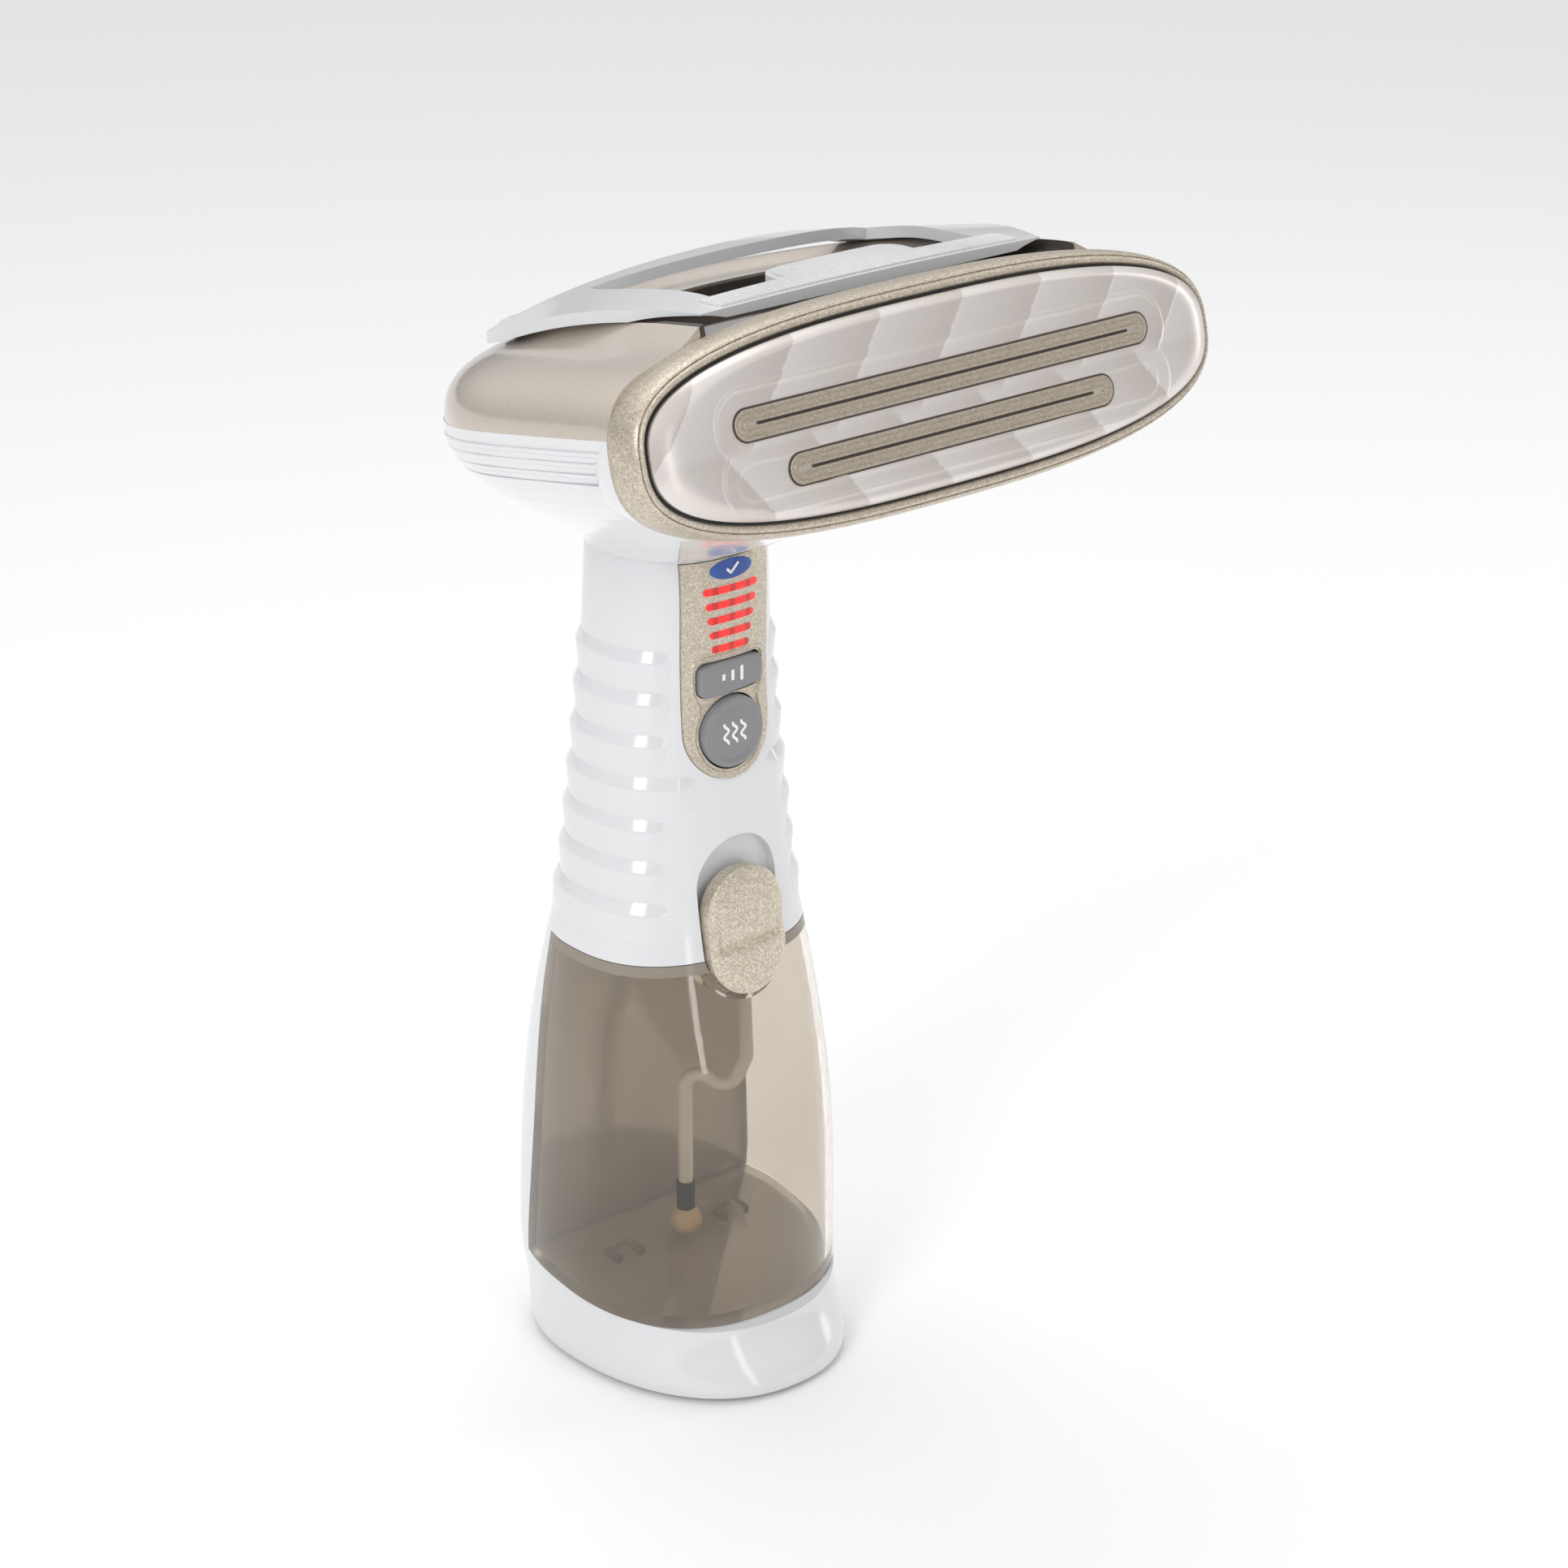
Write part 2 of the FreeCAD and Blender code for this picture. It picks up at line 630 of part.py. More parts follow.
def make_controls():
    """Panel insert, buttons, lenses, board, switches and lamps."""
    front_y = axis_y - size("waist_front") - 15
    back_y = axis_y - 8.0
    play = size("button_gap")
    steam_face = circle_face(size("steam_radius"))
    steam_hole = circle_face(size("steam_radius") + play)
    wide, tall = size("setting_width"), size("setting_height")
    setting_face = rounded(wide, tall, 2.6)
    setting_hole = rounded(wide + 2 * play, tall + 2 * play, 2.6 + play)
    skin = body(0.5)
    under = body(-2.0)
    panel = panel_prism(0.0).common(skin.cut(under))
    panel = panel.cut(facing_front(steam_hole, 0, from_neck("steam_z"), front_y, back_y))
    panel = panel.cut(facing_front(setting_hole, 0, from_neck("setting_z"), front_y, back_y))

    bars = []
    count = 5
    for index in range(count):
        share = index / (count - 1)
        length = size("bar_short") + (size("bar_long") - size("bar_short")) * share
        z = from_neck("bar_low_z") + size("bar_pitch") * index
        bars.append((capsule(length, size("bar_height")), z))
    lenses = [facing_front(face, 0, z, front_y, back_y) for face, z in bars]
    ready = facing_front(oval_face(size("ready_width") / 2, size("ready_height") / 2),
                         0, from_neck("ready_z"), front_y, back_y)
    for tool in lenses + [ready]:
        panel = panel.cut(tool)
    shaped("control_panel", panel)
    lens_skin = body(0.7).cut(body(-2.6))
    shaped("indicator_bars", Part.makeCompound([tool.common(lens_skin) for tool in lenses]))
    shaped("ready_lens", ready.common(lens_skin))

    button_skin = body(1.5).cut(body(-2.8))
    for label, face, z in (("steam_button", steam_face, from_neck("steam_z")),
                           ("setting_button", setting_face, from_neck("setting_z"))):
        cap = facing_front(face, 0, z, front_y, back_y).common(button_skin)
        shaped(label, cap)

    board_y = size("board_y")
    low, high = from_neck("panel_low_z") + 4.0, neck_z - 1.0
    board = doc.addObject("PartDesign::Body", "Board")
    plane = next(item for item in board.Origin.OriginFeatures if item.Role == "XZ_Plane")
    sketch = board.newObject("Sketcher::SketchObject", "BoardOutline")
    sketch.AttachmentSupport = [(plane, "")]
    sketch.MapMode = "FlatFace"
    half = 13.0
    corners = [(-half, low), (half, low), (half, high), (-half, high)]
    for (x0, z0), (x1, z1) in zip(corners, corners[1:] + corners[:1]):
        sketch.addGeometry(Part.LineSegment(Vector(x0, z0, 0), Vector(x1, z1, 0)), False)
    pad = board.newObject("PartDesign::Pad", "BoardPad")
    pad.Profile = sketch
    pad.setExpression("Length", "Sizes.board_thick")
    pad.Reversed = True
    board.Placement = Placement(Vector(0, board_y, 0), Rotation())
    board.Tip = pad
    keep(board, "control_board")

    switches = []
    for z, travel in ((from_neck("steam_z"), size("steam_travel")),
                      (from_neck("setting_z"), size("setting_travel"))):
        plunger_y = axis_y - size("waist_front") + 2.8 + travel + 0.4
        case = Part.makeBox(6.0, 2.4, 6.0, Vector(-3.0, board_y - 2.4, z - 3.0))
        stem = Part.makeCylinder(1.7, board_y - 2.4 - plunger_y,
                                 Vector(0, plunger_y, z), Vector(0, 1, 0))
        switches.append(case.fuse(stem))
    shaped("tact_switches", Part.makeCompound(switches))
    lamps = []
    heights = [from_neck("bar_low_z") + size("bar_pitch") * index for index in range(count)]
    for z in heights + [from_neck("ready_z")]:
        lamps.append(Part.makeBox(2.0, 1.2, 1.6, Vector(-1.0, board_y - 1.2, z - 0.8)))
    shaped("indicator_lamps", Part.makeCompound(lamps))


def oval_face(side, rise):
    """Face of an ellipse centred on its own XY plane."""
    edge = Part.Ellipse(Vector(), max(side, rise), min(side, rise)).toShape()
    return Part.Face(Part.Wire([edge]))


def make_tank():
    """Water tank, its lid, plug, tube with filter, clips and latch."""
    lift = gap
    lid = size("tank_lid_thick")
    floor_up = half_space((0, axis_y, deck_z + lift), deck_up)
    front_of_seam = half_space(shifted(seam_at, seam_normal, -gap), tuple(-c for c in seam_normal))
    top_z = edge_z - gap
    block = body_solid.common(floor_up).common(front_of_seam)
    thin = size("tank_wall")
    core = body(-thin).common(half_space((0, axis_y, deck_z + lift + thin), deck_up))
    core = core.common(half_space(shifted(seam_at, seam_normal, -gap - thin),
                                  tuple(-c for c in seam_normal)))
    y_face = axis_y - size("edge_front") - 20
    niche = facing_front(capsule_upright(2 * size("latch_gap"), 0), 0, latch_middle(),
                         y_face, latch_back_y() - 2.5)
    niche_wall = facing_front(capsule_upright(2 * size("latch_gap") + 2 * thin, 0), 0,
                              latch_middle(), y_face, latch_back_y() - 2.5 + thin)
    block = block.cut(niche)
    core = core.cut(niche_wall)
    below_lid = half_space((0, 0, top_z - lid), (0, 0, -1))
    shaped("tank_body", block.common(below_lid).cut(core))

    cap = block.common(half_space((0, 0, top_z - lid), (0, 0, 1)))
    cap = cap.common(half_space((0, 0, top_z), (0, 0, -1)))
    port = (12.0, axis_y - 14.4)
    fill = (-14.0, axis_y + 2.0)
    plug_radius = size("plug_radius")
    cap = cap.cut(Part.makeCylinder(size("tube_radius"), 2 * lid, Vector(*port, top_z - 1.5 * lid)))
    cap = cap.cut(Part.makeCylinder(plug_radius + 0.2, 2 * lid, Vector(*fill, top_z - 1.5 * lid)))
    shaped("tank_lid", cap)

    stopper = Part.makeCylinder(plug_radius, lid + 2.0, Vector(*fill, top_z - lid - 2.0))
    hollow = Part.makeCylinder(plug_radius - 2, 3.0, Vector(*fill, top_z - lid - 2.0))
    shaped("fill_plug", stopper.cut(hollow))

    radius = size("tube_radius")
    ball = size("ball_radius")
    floor_at = deck_z + lift + thin
    ball_z = floor_at + ball + 0.5
    drop_y = axis_y - 3.1
    route = [(*port, top_z), (*port, top_z - 10.0), (port[0] + 2.0, port[1] + 0.5, edge_z - 44.0),
             (port[0] - 4.0, port[1] + 2.0, edge_z - 55.0), (0.0, drop_y, edge_z - 42.0),
             (0.0, drop_y, ball_z + 12.0)]
    shaped("water_tube", pipe(route, radius - 0.02, 4.6, size("tube_bore")))
    sleeve = primitive("Cylinder", "SleeveOuter", (0, drop_y, ball_z + ball - 0.7),
                       Radius="Sizes.tube_radius + 0.5", Height="8.7")
    bore = primitive("Cylinder", "SleeveBore", (0, drop_y, ball_z + 12.0),
                     Radius="Sizes.tube_radius", Height="8")
    ball_solid = primitive("Sphere", "Ball", (0, drop_y, ball_z), Radius="Sizes.ball_radius")
    keep(boolean("Cut", "SleeveCut", boolean("Cut", "SleeveBored", sleeve, bore), ball_solid),
         "tube_sleeve")
    filter_ball = primitive("Sphere", "FilterBall", (0, drop_y, ball_z), Radius="Sizes.ball_radius")
    keep(filter_ball, "filter_ball")

    clips = []
    for x, y in ((-21.0, axis_y - 0.4), (18.5, axis_y - 0.4)):
        z = floor_at + slope * (y - axis_y) - 0.4
        plate = Part.makeBox(10.0, 6.5, 2.4, Vector(x - 5.0, y - 3.2, z))
        hole = Part.makeBox(6.0, 8.0, 4.0, Vector(x - 3.0, y - 5.2, z - 1.0))
        clips.append(plate.cut(hole).cut(half_space((0, axis_y, floor_at), (0, slope, -1))))
    shaped("tank_floor_clips", Part.makeCompound(clips))

    lean = Rotation(Vector(1, 0, 0), -LATCH_LEAN)
    y_out = axis_y - size("edge_front") - 0.7
    thick = 3.4
    pill = facing_front(capsule_upright(0), 0, 0, 0, thick)
    pill = pill.makeFillet(1.2, [edge for edge in pill.Edges if abs(edge.CenterOfMass.y) < 1e-3])
    for z in (-1.5, 1.5):
        groove = Part.makeCylinder(0.7, 60, Vector(-30, -0.35, z), Vector(1, 0, 0))
        pill = pill.cut(groove)
    pill.Placement = Placement(Vector(0, y_out, latch_middle()), lean)
    stem = Part.makeBox(6.0, 4.2, 1.4, Vector(-3.0, y_out + thick - 2.0, top_z - 1.8))
    shaped("tank_latch", pill.fuse(stem))

    coil_low = edge_z + size("latch_low_z") + 2.0
    coil_top = top_z - 1.85
    coil_y = y_out + thick + 1.3
    wire, coil_radius, turns = 0.3, 1.1, 5
    helix = Part.makeHelix((coil_top - coil_low - 2 * wire) / turns,
                           coil_top - coil_low - 2 * wire, coil_radius)
    ring = Part.Wire([Part.Circle(Vector(coil_radius, 0, 0), Vector(0, 1, 0), wire).toShape()])
    coil = Part.Wire(helix).makePipeShell([ring], True, True)
    coil.translate(Vector(0, coil_y, coil_low + wire))
    shaped("latch_spring", coil)
    return port


def make_dock(port):
    """Floor of the handle over the tank, its seal, and the pump line."""
    thick = 2.4
    slab = body(-wall).common(half_space((0, 0, edge_z), (0, 0, 1)))
    slab = slab.common(half_space((0, 0, edge_z + thick), (0, 0, -1)))
    slab = slab.cut(half_space(shifted(seam_at, seam_normal, -gap), seam_normal))
    y_face = axis_y - size("edge_front") - 20
    niche = facing_front(capsule_upright(2 * (size("latch_gap") + RECESS_WALL) + 0.6,
                                         size("latch_travel") + 2.8),
                         0, latch_middle() + size("latch_travel") / 2, y_face,
                         latch_back_y() + 2.2)
    slab = slab.cut(niche)
    x, y = port
    slab = slab.cut(Part.makeCylinder(4.5, 3 * thick, Vector(x, y, edge_z - thick)))
    fill = (-14.0, axis_y + 2.0)
    slab = slab.cut(Part.makeCylinder(size("plug_radius") + 0.6, 3 * thick,
                                      Vector(*fill, edge_z - thick)))
    shaped("dock_plate", slab)
    ring = Part.makeCylinder(4.4, thick, Vector(x, y, edge_z))
    ring = ring.cut(Part.makeCylinder(size("tube_radius"), 3 * thick, Vector(x, y, edge_z - thick)))
    shaped("dock_seal", ring)


def make_pump(port):
    """Solenoid pump with its coil, bracket and water lines."""
    y = size("pump_y")
    low = size("pump_low_z")
    coil_height = 24.0
    coil = primitive("Cylinder", "CoilOuter", (0, y, low), Radius="Sizes.pump_radius",
                     Height=str(coil_height))
    core = primitive("Cylinder", "CoilBore", (0, y, low - 1), Radius="6.5",
                     Height=str(coil_height + 2))
    keep(boolean("Cut", "CoilCut", coil, core), "pump_coil")
    barrel = Part.makeCylinder(6.4, coil_height + 6, Vector(0, y, low - 3))
    inlet = Part.makeCylinder(3.0, 5.0, Vector(0, y, low - 7.5))
    outlet = Part.makeCylinder(3.0, 6.0, Vector(0, y, low + coil_height + 2.5))
    bore = Part.makeCylinder(1.5, coil_height + 30, Vector(0, y, low - 15))
    shaped("pump_body", barrel.fuse(inlet).fuse(outlet).cut(bore).removeSplitter())
    ring = Part.makeCylinder(9.0, 2.4, Vector(0, y, low - 2.6))
    ring = ring.cut(Part.makeCylinder(6.45, 6, Vector(0, y, low - 4)))
    shaped("pump_cushion", ring)
    x0, y0 = port
    tube = pipe([(x0, y0, edge_z + 0.2), (x0, y0, edge_z + 5.6), (0, y, edge_z + 7.6),
                 (0, y, low - 7.5)], size("tube_radius") - 0.05, 1.9, size("tube_bore"))
    shaped("suction_tube", tube)


def make_head():
    """Casings of the head, bezel, gasket, plate and nozzle bars."""
    hood_outer = hood_solid()
    hood_inner = hood_solid(-wall)
    above_seam = half_space(tuple(seam_centre), tuple(seam_up))
    shell = hood_outer.common(above_seam).common(behind_bezel).cut(hood_inner)
    opening = window_prism(0.0)
    floor_z = window_floor()
    shell = shell.cut(opening.common(floor_z))
    shaped("upper_hood", shell)

    tray_outer = window_prism(-gap / 2).common(floor_z).common(hood_solid(-0.6))
    tray_inner = window_prism(-1.8).common(window_floor(2.0))
    shaped("top_window", tray_outer.common(half_space(tuple(head_point(0, 0, bezel_depth + gap)),
                                                      tuple(plate_back))).cut(tray_inner))

    below_seam = half_space(tuple(seam_centre), tuple(seam_up * -1))
    bowl = bowl_solid().common(below_seam).common(behind_bezel)
    bowl = bowl.cut(bowl_solid(-wall))
    bowl = bowl.cut(half_space((0, 0, neck_z), (0, 0, -1)))
    neck_front = axis_y - size("waist_front")
    block = Part.makeBox(size("panel_width"), 17.0, 20.0,
                         Vector(-size("panel_width") / 2, neck_front - 12.0, neck_z + 0.4))
    upright = [edge for edge in block.Edges if abs(edge.tangentAt(0).z) > 0.9]
    block = block.makeFillet(5.0, upright)
    seat = bowl_solid(-1.4)
    shaped("lower_head_shell", bowl.cut(block.cut(seat)))
    shaped("chin_trim", block.common(bowl_solid(0.4)).cut(seat))

    side, rise = size("plate_side"), size("plate_rise")
    wide, tall = size("bezel_side"), size("bezel_rise")
    lip = 4.5
    ring = loft([head_oval(side + 1.6, rise + 2.2, 3.2), head_oval(wide - 1.2, tall - 1.0, lip),
                 head_oval(wide, tall, lip + 3.5), head_oval(wide, tall, bezel_depth)])
    hole = head_prism(side + 1.0, rise + 1.0, -5.0, bezel_depth + 5.0)
    shaped("head_bezel", ring.cut(hole))

    gasket = head_prism(side + 0.95, rise + 0.95, 4.0, 7.0)
    gasket = gasket.cut(head_prism(side - 0.4, rise - 0.4, 3.0, 8.0))
    shaped("plate_gasket", gasket)

    thick = size("plate_thick")
    plate = loft([head_oval(side - 1.6, rise - 1.6, -0.6), head_oval(side - 0.4, rise - 0.4, 0.9),
                  head_oval(side, rise, 2.4)])
    plate = plate.fuse(head_prism(side, rise, 2.4, thick - 0.1))
    skirt = head_prism(side - 0.45, rise - 0.45, thick - 0.1, thick + 4.0)
    skirt = skirt.cut(head_prism(side - 4.0, rise - 4.0, thick - 0.5, thick + 5.0))
    plate = plate.fuse(skirt)
    bars = (("upper_nozzle_bar", size("upper_bar_half"), size("upper_bar_v")),
            ("lower_nozzle_bar", size("lower_bar_half"), size("lower_bar_v")))
    width = size("bar_width")
    for label, half, v in bars:
        plate = plate.cut(into_head(capsule(2 * half, width), 0, v, -3.0, thick + 1.0))
        bar = into_head(capsule(2 * half - 0.2, width - 0.2), 0, v, -0.1, thick - 0.1)
        slit = into_head(capsule(2 * half - 9.0, size("slit_width")), 0, v, -1.0, thick + 1.0)
        shaped(label, bar.cut(slit))
    shaped("steam_plate", plate)


def window_prism(grow):
    """Outline of the top opening, wide in front and round behind."""
    half, front = 63.0 + grow, 62.0 + grow
    depth = 35.0 + grow
    corners = [Vector(-half, -front, 0), Vector(half, -front, 0), Vector(half, -18.0, 0),
               Vector(-half, -18.0, 0)]
    arc = Part.Arc(corners[2], Vector(0, depth - 22.0, 0), corners[3]).toShape()
    wire = Part.Wire([Part.makeLine(corners[3], corners[0]), Part.makeLine(corners[0], corners[1]),
                      Part.makeLine(corners[1], corners[2]), arc])
    return Part.Face(wire).extrude(Vector(0, 0, 400))


def window_floor(lift=0.0):
    """Everything above the window pane's own level."""
    origin = seam_centre + seam_up * (size("hood_height") - 9.0 + lift)
    return half_space(tuple(origin), tuple(seam_up))


def make_chamber():
    """Steam chamber, its lid, heater, thermostat, fuse and shield."""
    start = size("plate_thick") + 5.0
    depth = size("chamber_depth")
    side, rise = size("chamber_side"), size("chamber_rise")
    block = head_prism(side, rise, start, start + depth, 3.2)
    cavity = head_prism(side - 5.0, rise - 4.0, start + 4.0, start + depth + 1, 3.2)
    block = block.cut(cavity)
    for half, v in ((size("upper_bar_half"), size("upper_bar_v")),
                    (size("lower_bar_half"), size("lower_bar_v"))):
        block = block.cut(into_head(capsule(1.7 * half, 2.0), 0, v, start - 1, start + 5))
    back = start + depth
    lid_end = back + size("chamber_lid_thick")
    bolt_places = (-side + 2.6, side - 2.6)
    bolt_radius = 1.1
    lid = head_prism(side, rise, back, lid_end, 3.2)
    for u in bolt_places:
        shaft = into_head(circle_face(bolt_radius + 0.05), u, 0, back - 8.1, lid_end + 1)
        block, lid = block.cut(shaft), lid.cut(shaft)
    shaped("steam_chamber", block)
    inlet_hole = into_head(circle_face(2.0), 0, 0, back - 1, lid_end + 1)
    shaped("chamber_lid", lid.cut(inlet_hole))
    inlet = into_head(circle_face(3.2), 0, 0, lid_end, lid_end + 8.0)
    shaped("chamber_inlet", inlet.cut(into_head(circle_face(1.5), 0, 0, lid_end - 1, lid_end + 9)))

    sheath = size("element_radius")
    reach = side - 16.0
    span = rise - 2.2 - sheath
    bend = span
    w = lid_end + sheath
    points = [head_point(-reach, span, w), head_point(reach - bend, span, w),
              head_point(reach, 0, w),
              head_point(reach - bend, -span, w), head_point(-reach, -span, w)]
    leg_one = Part.makeLine(points[0], points[1])
    turn = Part.Arc(points[1], points[2], points[3]).toShape()
    leg_two = Part.makeLine(points[3], points[4])
    path = Part.Wire([leg_one, turn, leg_two])
    ring = Part.Wire([Part.Circle(points[0], Vector(1, 0, 0), sheath).toShape()])
    shaped("heating_element", path.makePipeShell([ring], True, False))

    disc = into_head(circle_face(5.6), -26.0, 0, lid_end, lid_end + 9.0)
    flange = into_head(capsule(19.0, 6.0), -26.0, 0, lid_end, lid_end + 1.0)
    shaped("thermostat", disc.fuse(flange).removeSplitter())
    fuse_start = head_point(18.0, 0, lid_end + 2.2)
    shaped("thermal_fuse", Part.makeCylinder(2.0, 14.0, fuse_start, Vector(1, 0, 0)))
    bolts = []
    for u in bolt_places:
        shank = into_head(circle_face(bolt_radius), u, 0, back - 8.0, lid_end)
        bolts.append(shank.fuse(into_head(circle_face(2.1), u, 0, lid_end, lid_end + 1.6)))
    shaped("chamber_screws", Part.makeCompound(bolts))
    shield_w = lid_end + 13.0
    shield = head_prism(side, rise + 1.5, shield_w, shield_w + 0.8, 3.2)
    shaped("heat_shield", shield.cut(into_head(circle_face(6.0), 0, 0, shield_w - 1, shield_w + 2)))

    y = size("pump_y")
    tube_start = head_point(0, 0, lid_end + 8.0)
    route = [tuple(tube_start), tuple(tube_start + plate_back * 46.0), (0, y, neck_z + 6.0),
             (0, y, size("pump_low_z") + 24.0 + 8.5)]
    shaped("delivery_tube", pipe(route, size("tube_radius"), 11.0, size("tube_bore")))


def circle_face(radius):
    """Face of a circle centred on its own XY plane."""
    return Part.Face(Part.Wire([Part.Circle(Vector(), Vector(0, 0, 1), radius).toShape()]))


def make_wiring():
    """Terminal block in the foot and the wires up to the board."""
    block_top = size("foot_pad_height") + 11.0
    corner = Vector(-9.0, WIRE_Y - 6.0, block_top - 8.0)
    shaped("terminal_block", Part.makeBox(18.0, 10.0, 8.0, corner))
    wires = []
    end_y = size("board_y") + size("board_thick")
    for x in (-4.0, 4.0):
        route = [(x, WIRE_Y, block_top), (x, WIRE_Y, deck_z + 13.0), (x, WIRE_Y - 5.0, edge_z),
                 (x, axis_y + 10.0, neck_z - 30.0), (x, axis_y + 8.0, neck_z - 6.0),
                 (x, end_y, neck_z - 6.0)]
        wires.append(pipe(route, 1.2, 8.0))
    shaped("wiring", Part.makeCompound(wires))


def make_top_frame():
    """Lever frame over the head with its pad, post and hinge."""
    front = size("frame_front_y")
    half = size("frame_half")
    top = from_neck("frame_z")
    thick = 3.2
    rail = 11.0
    tip_x, tip_y = 66.0, 29.0
    rear_y = 11.0

    def plan_face(front_y, reach, bulge, tail_x, tail_y, back_y):
        """Plan outline: straight front, swept sides and a shallow arc behind."""
        depth = tail_y - front_y
        sides = []
        for sign in (1, -1):
            curve = Part.BSplineCurve()
            curve.interpolate([Vector(sign * reach, front_y, 0),
                               Vector(sign * bulge, front_y + 0.56 * depth, 0),
                               Vector(sign * (bulge + 1.0), front_y + 0.76 * depth, 0),
                               Vector(sign * tail_x, tail_y, 0)])
            sides.append(curve.toShape())
        line = Part.makeLine(Vector(-reach, front_y, 0), Vector(reach, front_y, 0))
        rear = Part.Arc(Vector(tail_x, tail_y, 0), Vector(0, back_y, 0),
                        Vector(-tail_x, tail_y, 0)).toShape()
        return Part.Face(Part.Wire(Part.sortEdges([line, sides[0], rear, sides[1]])[0]))

    outer = plan_face(front, half, 69.5, tip_x, tip_y, rear_y).extrude(Vector(0, 0, 400))
    inner = plan_face(front + rail, half - 12.0, 48.0, 47.0, rear_y - 1.0, rear_y - 10.0)
    inner = inner.extrude(Vector(0, 0, 400))
    tongue = rounded(46.0, 30.0, 7.0).extrude(Vector(0, 0, 400))
    tongue.translate(Vector(0, front + rail - 5.5, 0))

    def arch(lift):
        """Everything under the frame's upper surface, arched across and falling back."""
        wires = []
        for y, crown, drop in ((front - 12, top + 0.5, 3.0), (front + 8, top, 3.0),
                               (front + 36, top - 1.0, 9.0), (8.5, top - 3.4, 15.5),
                               (20.0, top - 5.6, 20.0), (40.0, top - 10.5, 26.0)):
            reach = 90.0
            ends = crown - drop + lift
            arc = Part.Arc(Vector(-reach, y, ends), Vector(0, y, crown + lift),
                           Vector(reach, y, ends)).toShape()
            low = [Vector(reach, y, ends), Vector(reach, y, 200), Vector(-reach, y, 200),
                   Vector(-reach, y, ends)]
            wires.append(Part.Wire([arc] + [Part.makeLine(a, b) for a, b in zip(low, low[1:])]))
        return loft(wires)

    upper, lower = arch(0.0), arch(-thick)
    hood_room = hood_solid(0.6)
    ring = outer.cut(inner.cut(tongue))
    pin_y, pin_z = size("pin_y"), from_neck("pin_z")
    pin = size("pin_radius")
    eye = pin + 1.0
    across = Vector(1, 0, 0)
    frame = ring.common(upper).cut(lower).cut(hood_room)
    pins, ears = [], []
    lug_x, lug_wide, ear_wide = 59.0, 3.6, 3.4
    for sign in (-1, 1):
        start = lug_x if sign > 0 else -lug_x - lug_wide
        lug = Part.makeCylinder(pin + 1.4, lug_wide, Vector(start, pin_y, pin_z), across)
        web = Part.makeBox(lug_wide, 5.8, 12.0, Vector(start, pin_y - 2.9, pin_z))
        web = web.common(upper)
        frame = frame.fuse(lug.fuse(web).cut(hood_room))
        far = lug_x - ear_wide - 0.35 if sign > 0 else -lug_x + 0.35
        ear = Part.makeCylinder(eye, ear_wide, Vector(far, pin_y, pin_z), across)
        ear = ear.fuse(Part.makeBox(ear_wide, 2 * eye, 9.2, Vector(far, pin_y - eye, pin_z - 9.2)))
        room = Part.makeCylinder(eye + 0.4, ear_wide + 0.7, Vector(far - 0.35, pin_y, pin_z), across)
        room = room.fuse(Part.makeBox(ear_wide + 0.7, 2 * eye + 5.0, 14.0,
                                      Vector(far - 0.35, pin_y - eye - 2.5, pin_z - 14.0)))
        frame = frame.cut(room)
        hole = Part.makeCylinder(pin + size("pin_gap"), 40, Vector(far - 10, pin_y, pin_z), across)
        ears.append(ear.cut(hole).cut(hood_solid(0.0)))
        low_x = far if sign > 0 else start + 0.4
        pins.append(Part.makeCylinder(pin, ear_wide + lug_wide - 0.05,
                                      Vector(low_x, pin_y, pin_z), across))
    for shaft in pins:
        frame = frame.cut(shaft)
    shaped("top_frame", frame)
    shaped("frame_hinge_pins", Part.makeCompound(pins))
    shaped("frame_hinge_ears", Part.makeCompound(ears))

    pad_plan = rounded(2 * half - 14.0, rail - 2.4, 1.2).extrude(Vector(0, 0, 400))
    pad_plan.translate(Vector(0, front + rail / 2, 0))
    pad_tongue = rounded(43.0, 27.0, 6.0).extrude(Vector(0, 0, 400))
    pad_tongue.translate(Vector(0, front + rail - 5.4, 0))
    pad_tongue = pad_tongue.cut(half_space((0, front + 1.2, 0), (0, -1, 0)))
    grip = pad_plan.fuse(pad_tongue).common(arch(0.6)).cut(upper)
    shaped("frame_grip_pad", grip)
    post = rounded(27.0, 8.0, 2.5).extrude(Vector(0, 0, 400))
    post.translate(Vector(0, front + 6.0, 0))
    shaped("frame_post", post.common(arch(-thick)).cut(arch(-thick - 4.0)))


make_foot()
make_handle()
make_controls()
outlet = make_tank()
make_dock(outlet)
make_pump(outlet)
make_head()
make_chamber()
make_wiring()
make_top_frame()

doc.recompute()

# ------------------------------------------------------------ check and export

for item in doc.Objects:
    if "Invalid" in item.State or "Error" in item.State:
        raise RuntimeError("object failed: %s %s" % (item.Label, item.State))
for item in SUBPARTS:
    shape = item.Shape
    if shape.isNull() or not shape.isValid() or not shape.Solids:
        raise RuntimeError("bad shape: %s" % item.Label)
    if any(solid.Volume <= 0 for solid in shape.Solids):
        raise RuntimeError("inside out: %s" % item.Label)

os.makedirs("parts", exist_ok=True)
for item in SUBPARTS:
    item.Shape.exportStep("parts/%s.step" % item.Label)
    box = item.Shape.BoundBox
    print("%-20s solids %2d  vol %9.1f  x %6.1f %6.1f  y %6.1f %6.1f  z %6.1f %6.1f" % (
        item.Label, len(item.Shape.Solids), item.Shape.Volume, box.XMin, box.XMax,
        box.YMin, box.YMax, box.ZMin, box.ZMax))
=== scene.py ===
import math

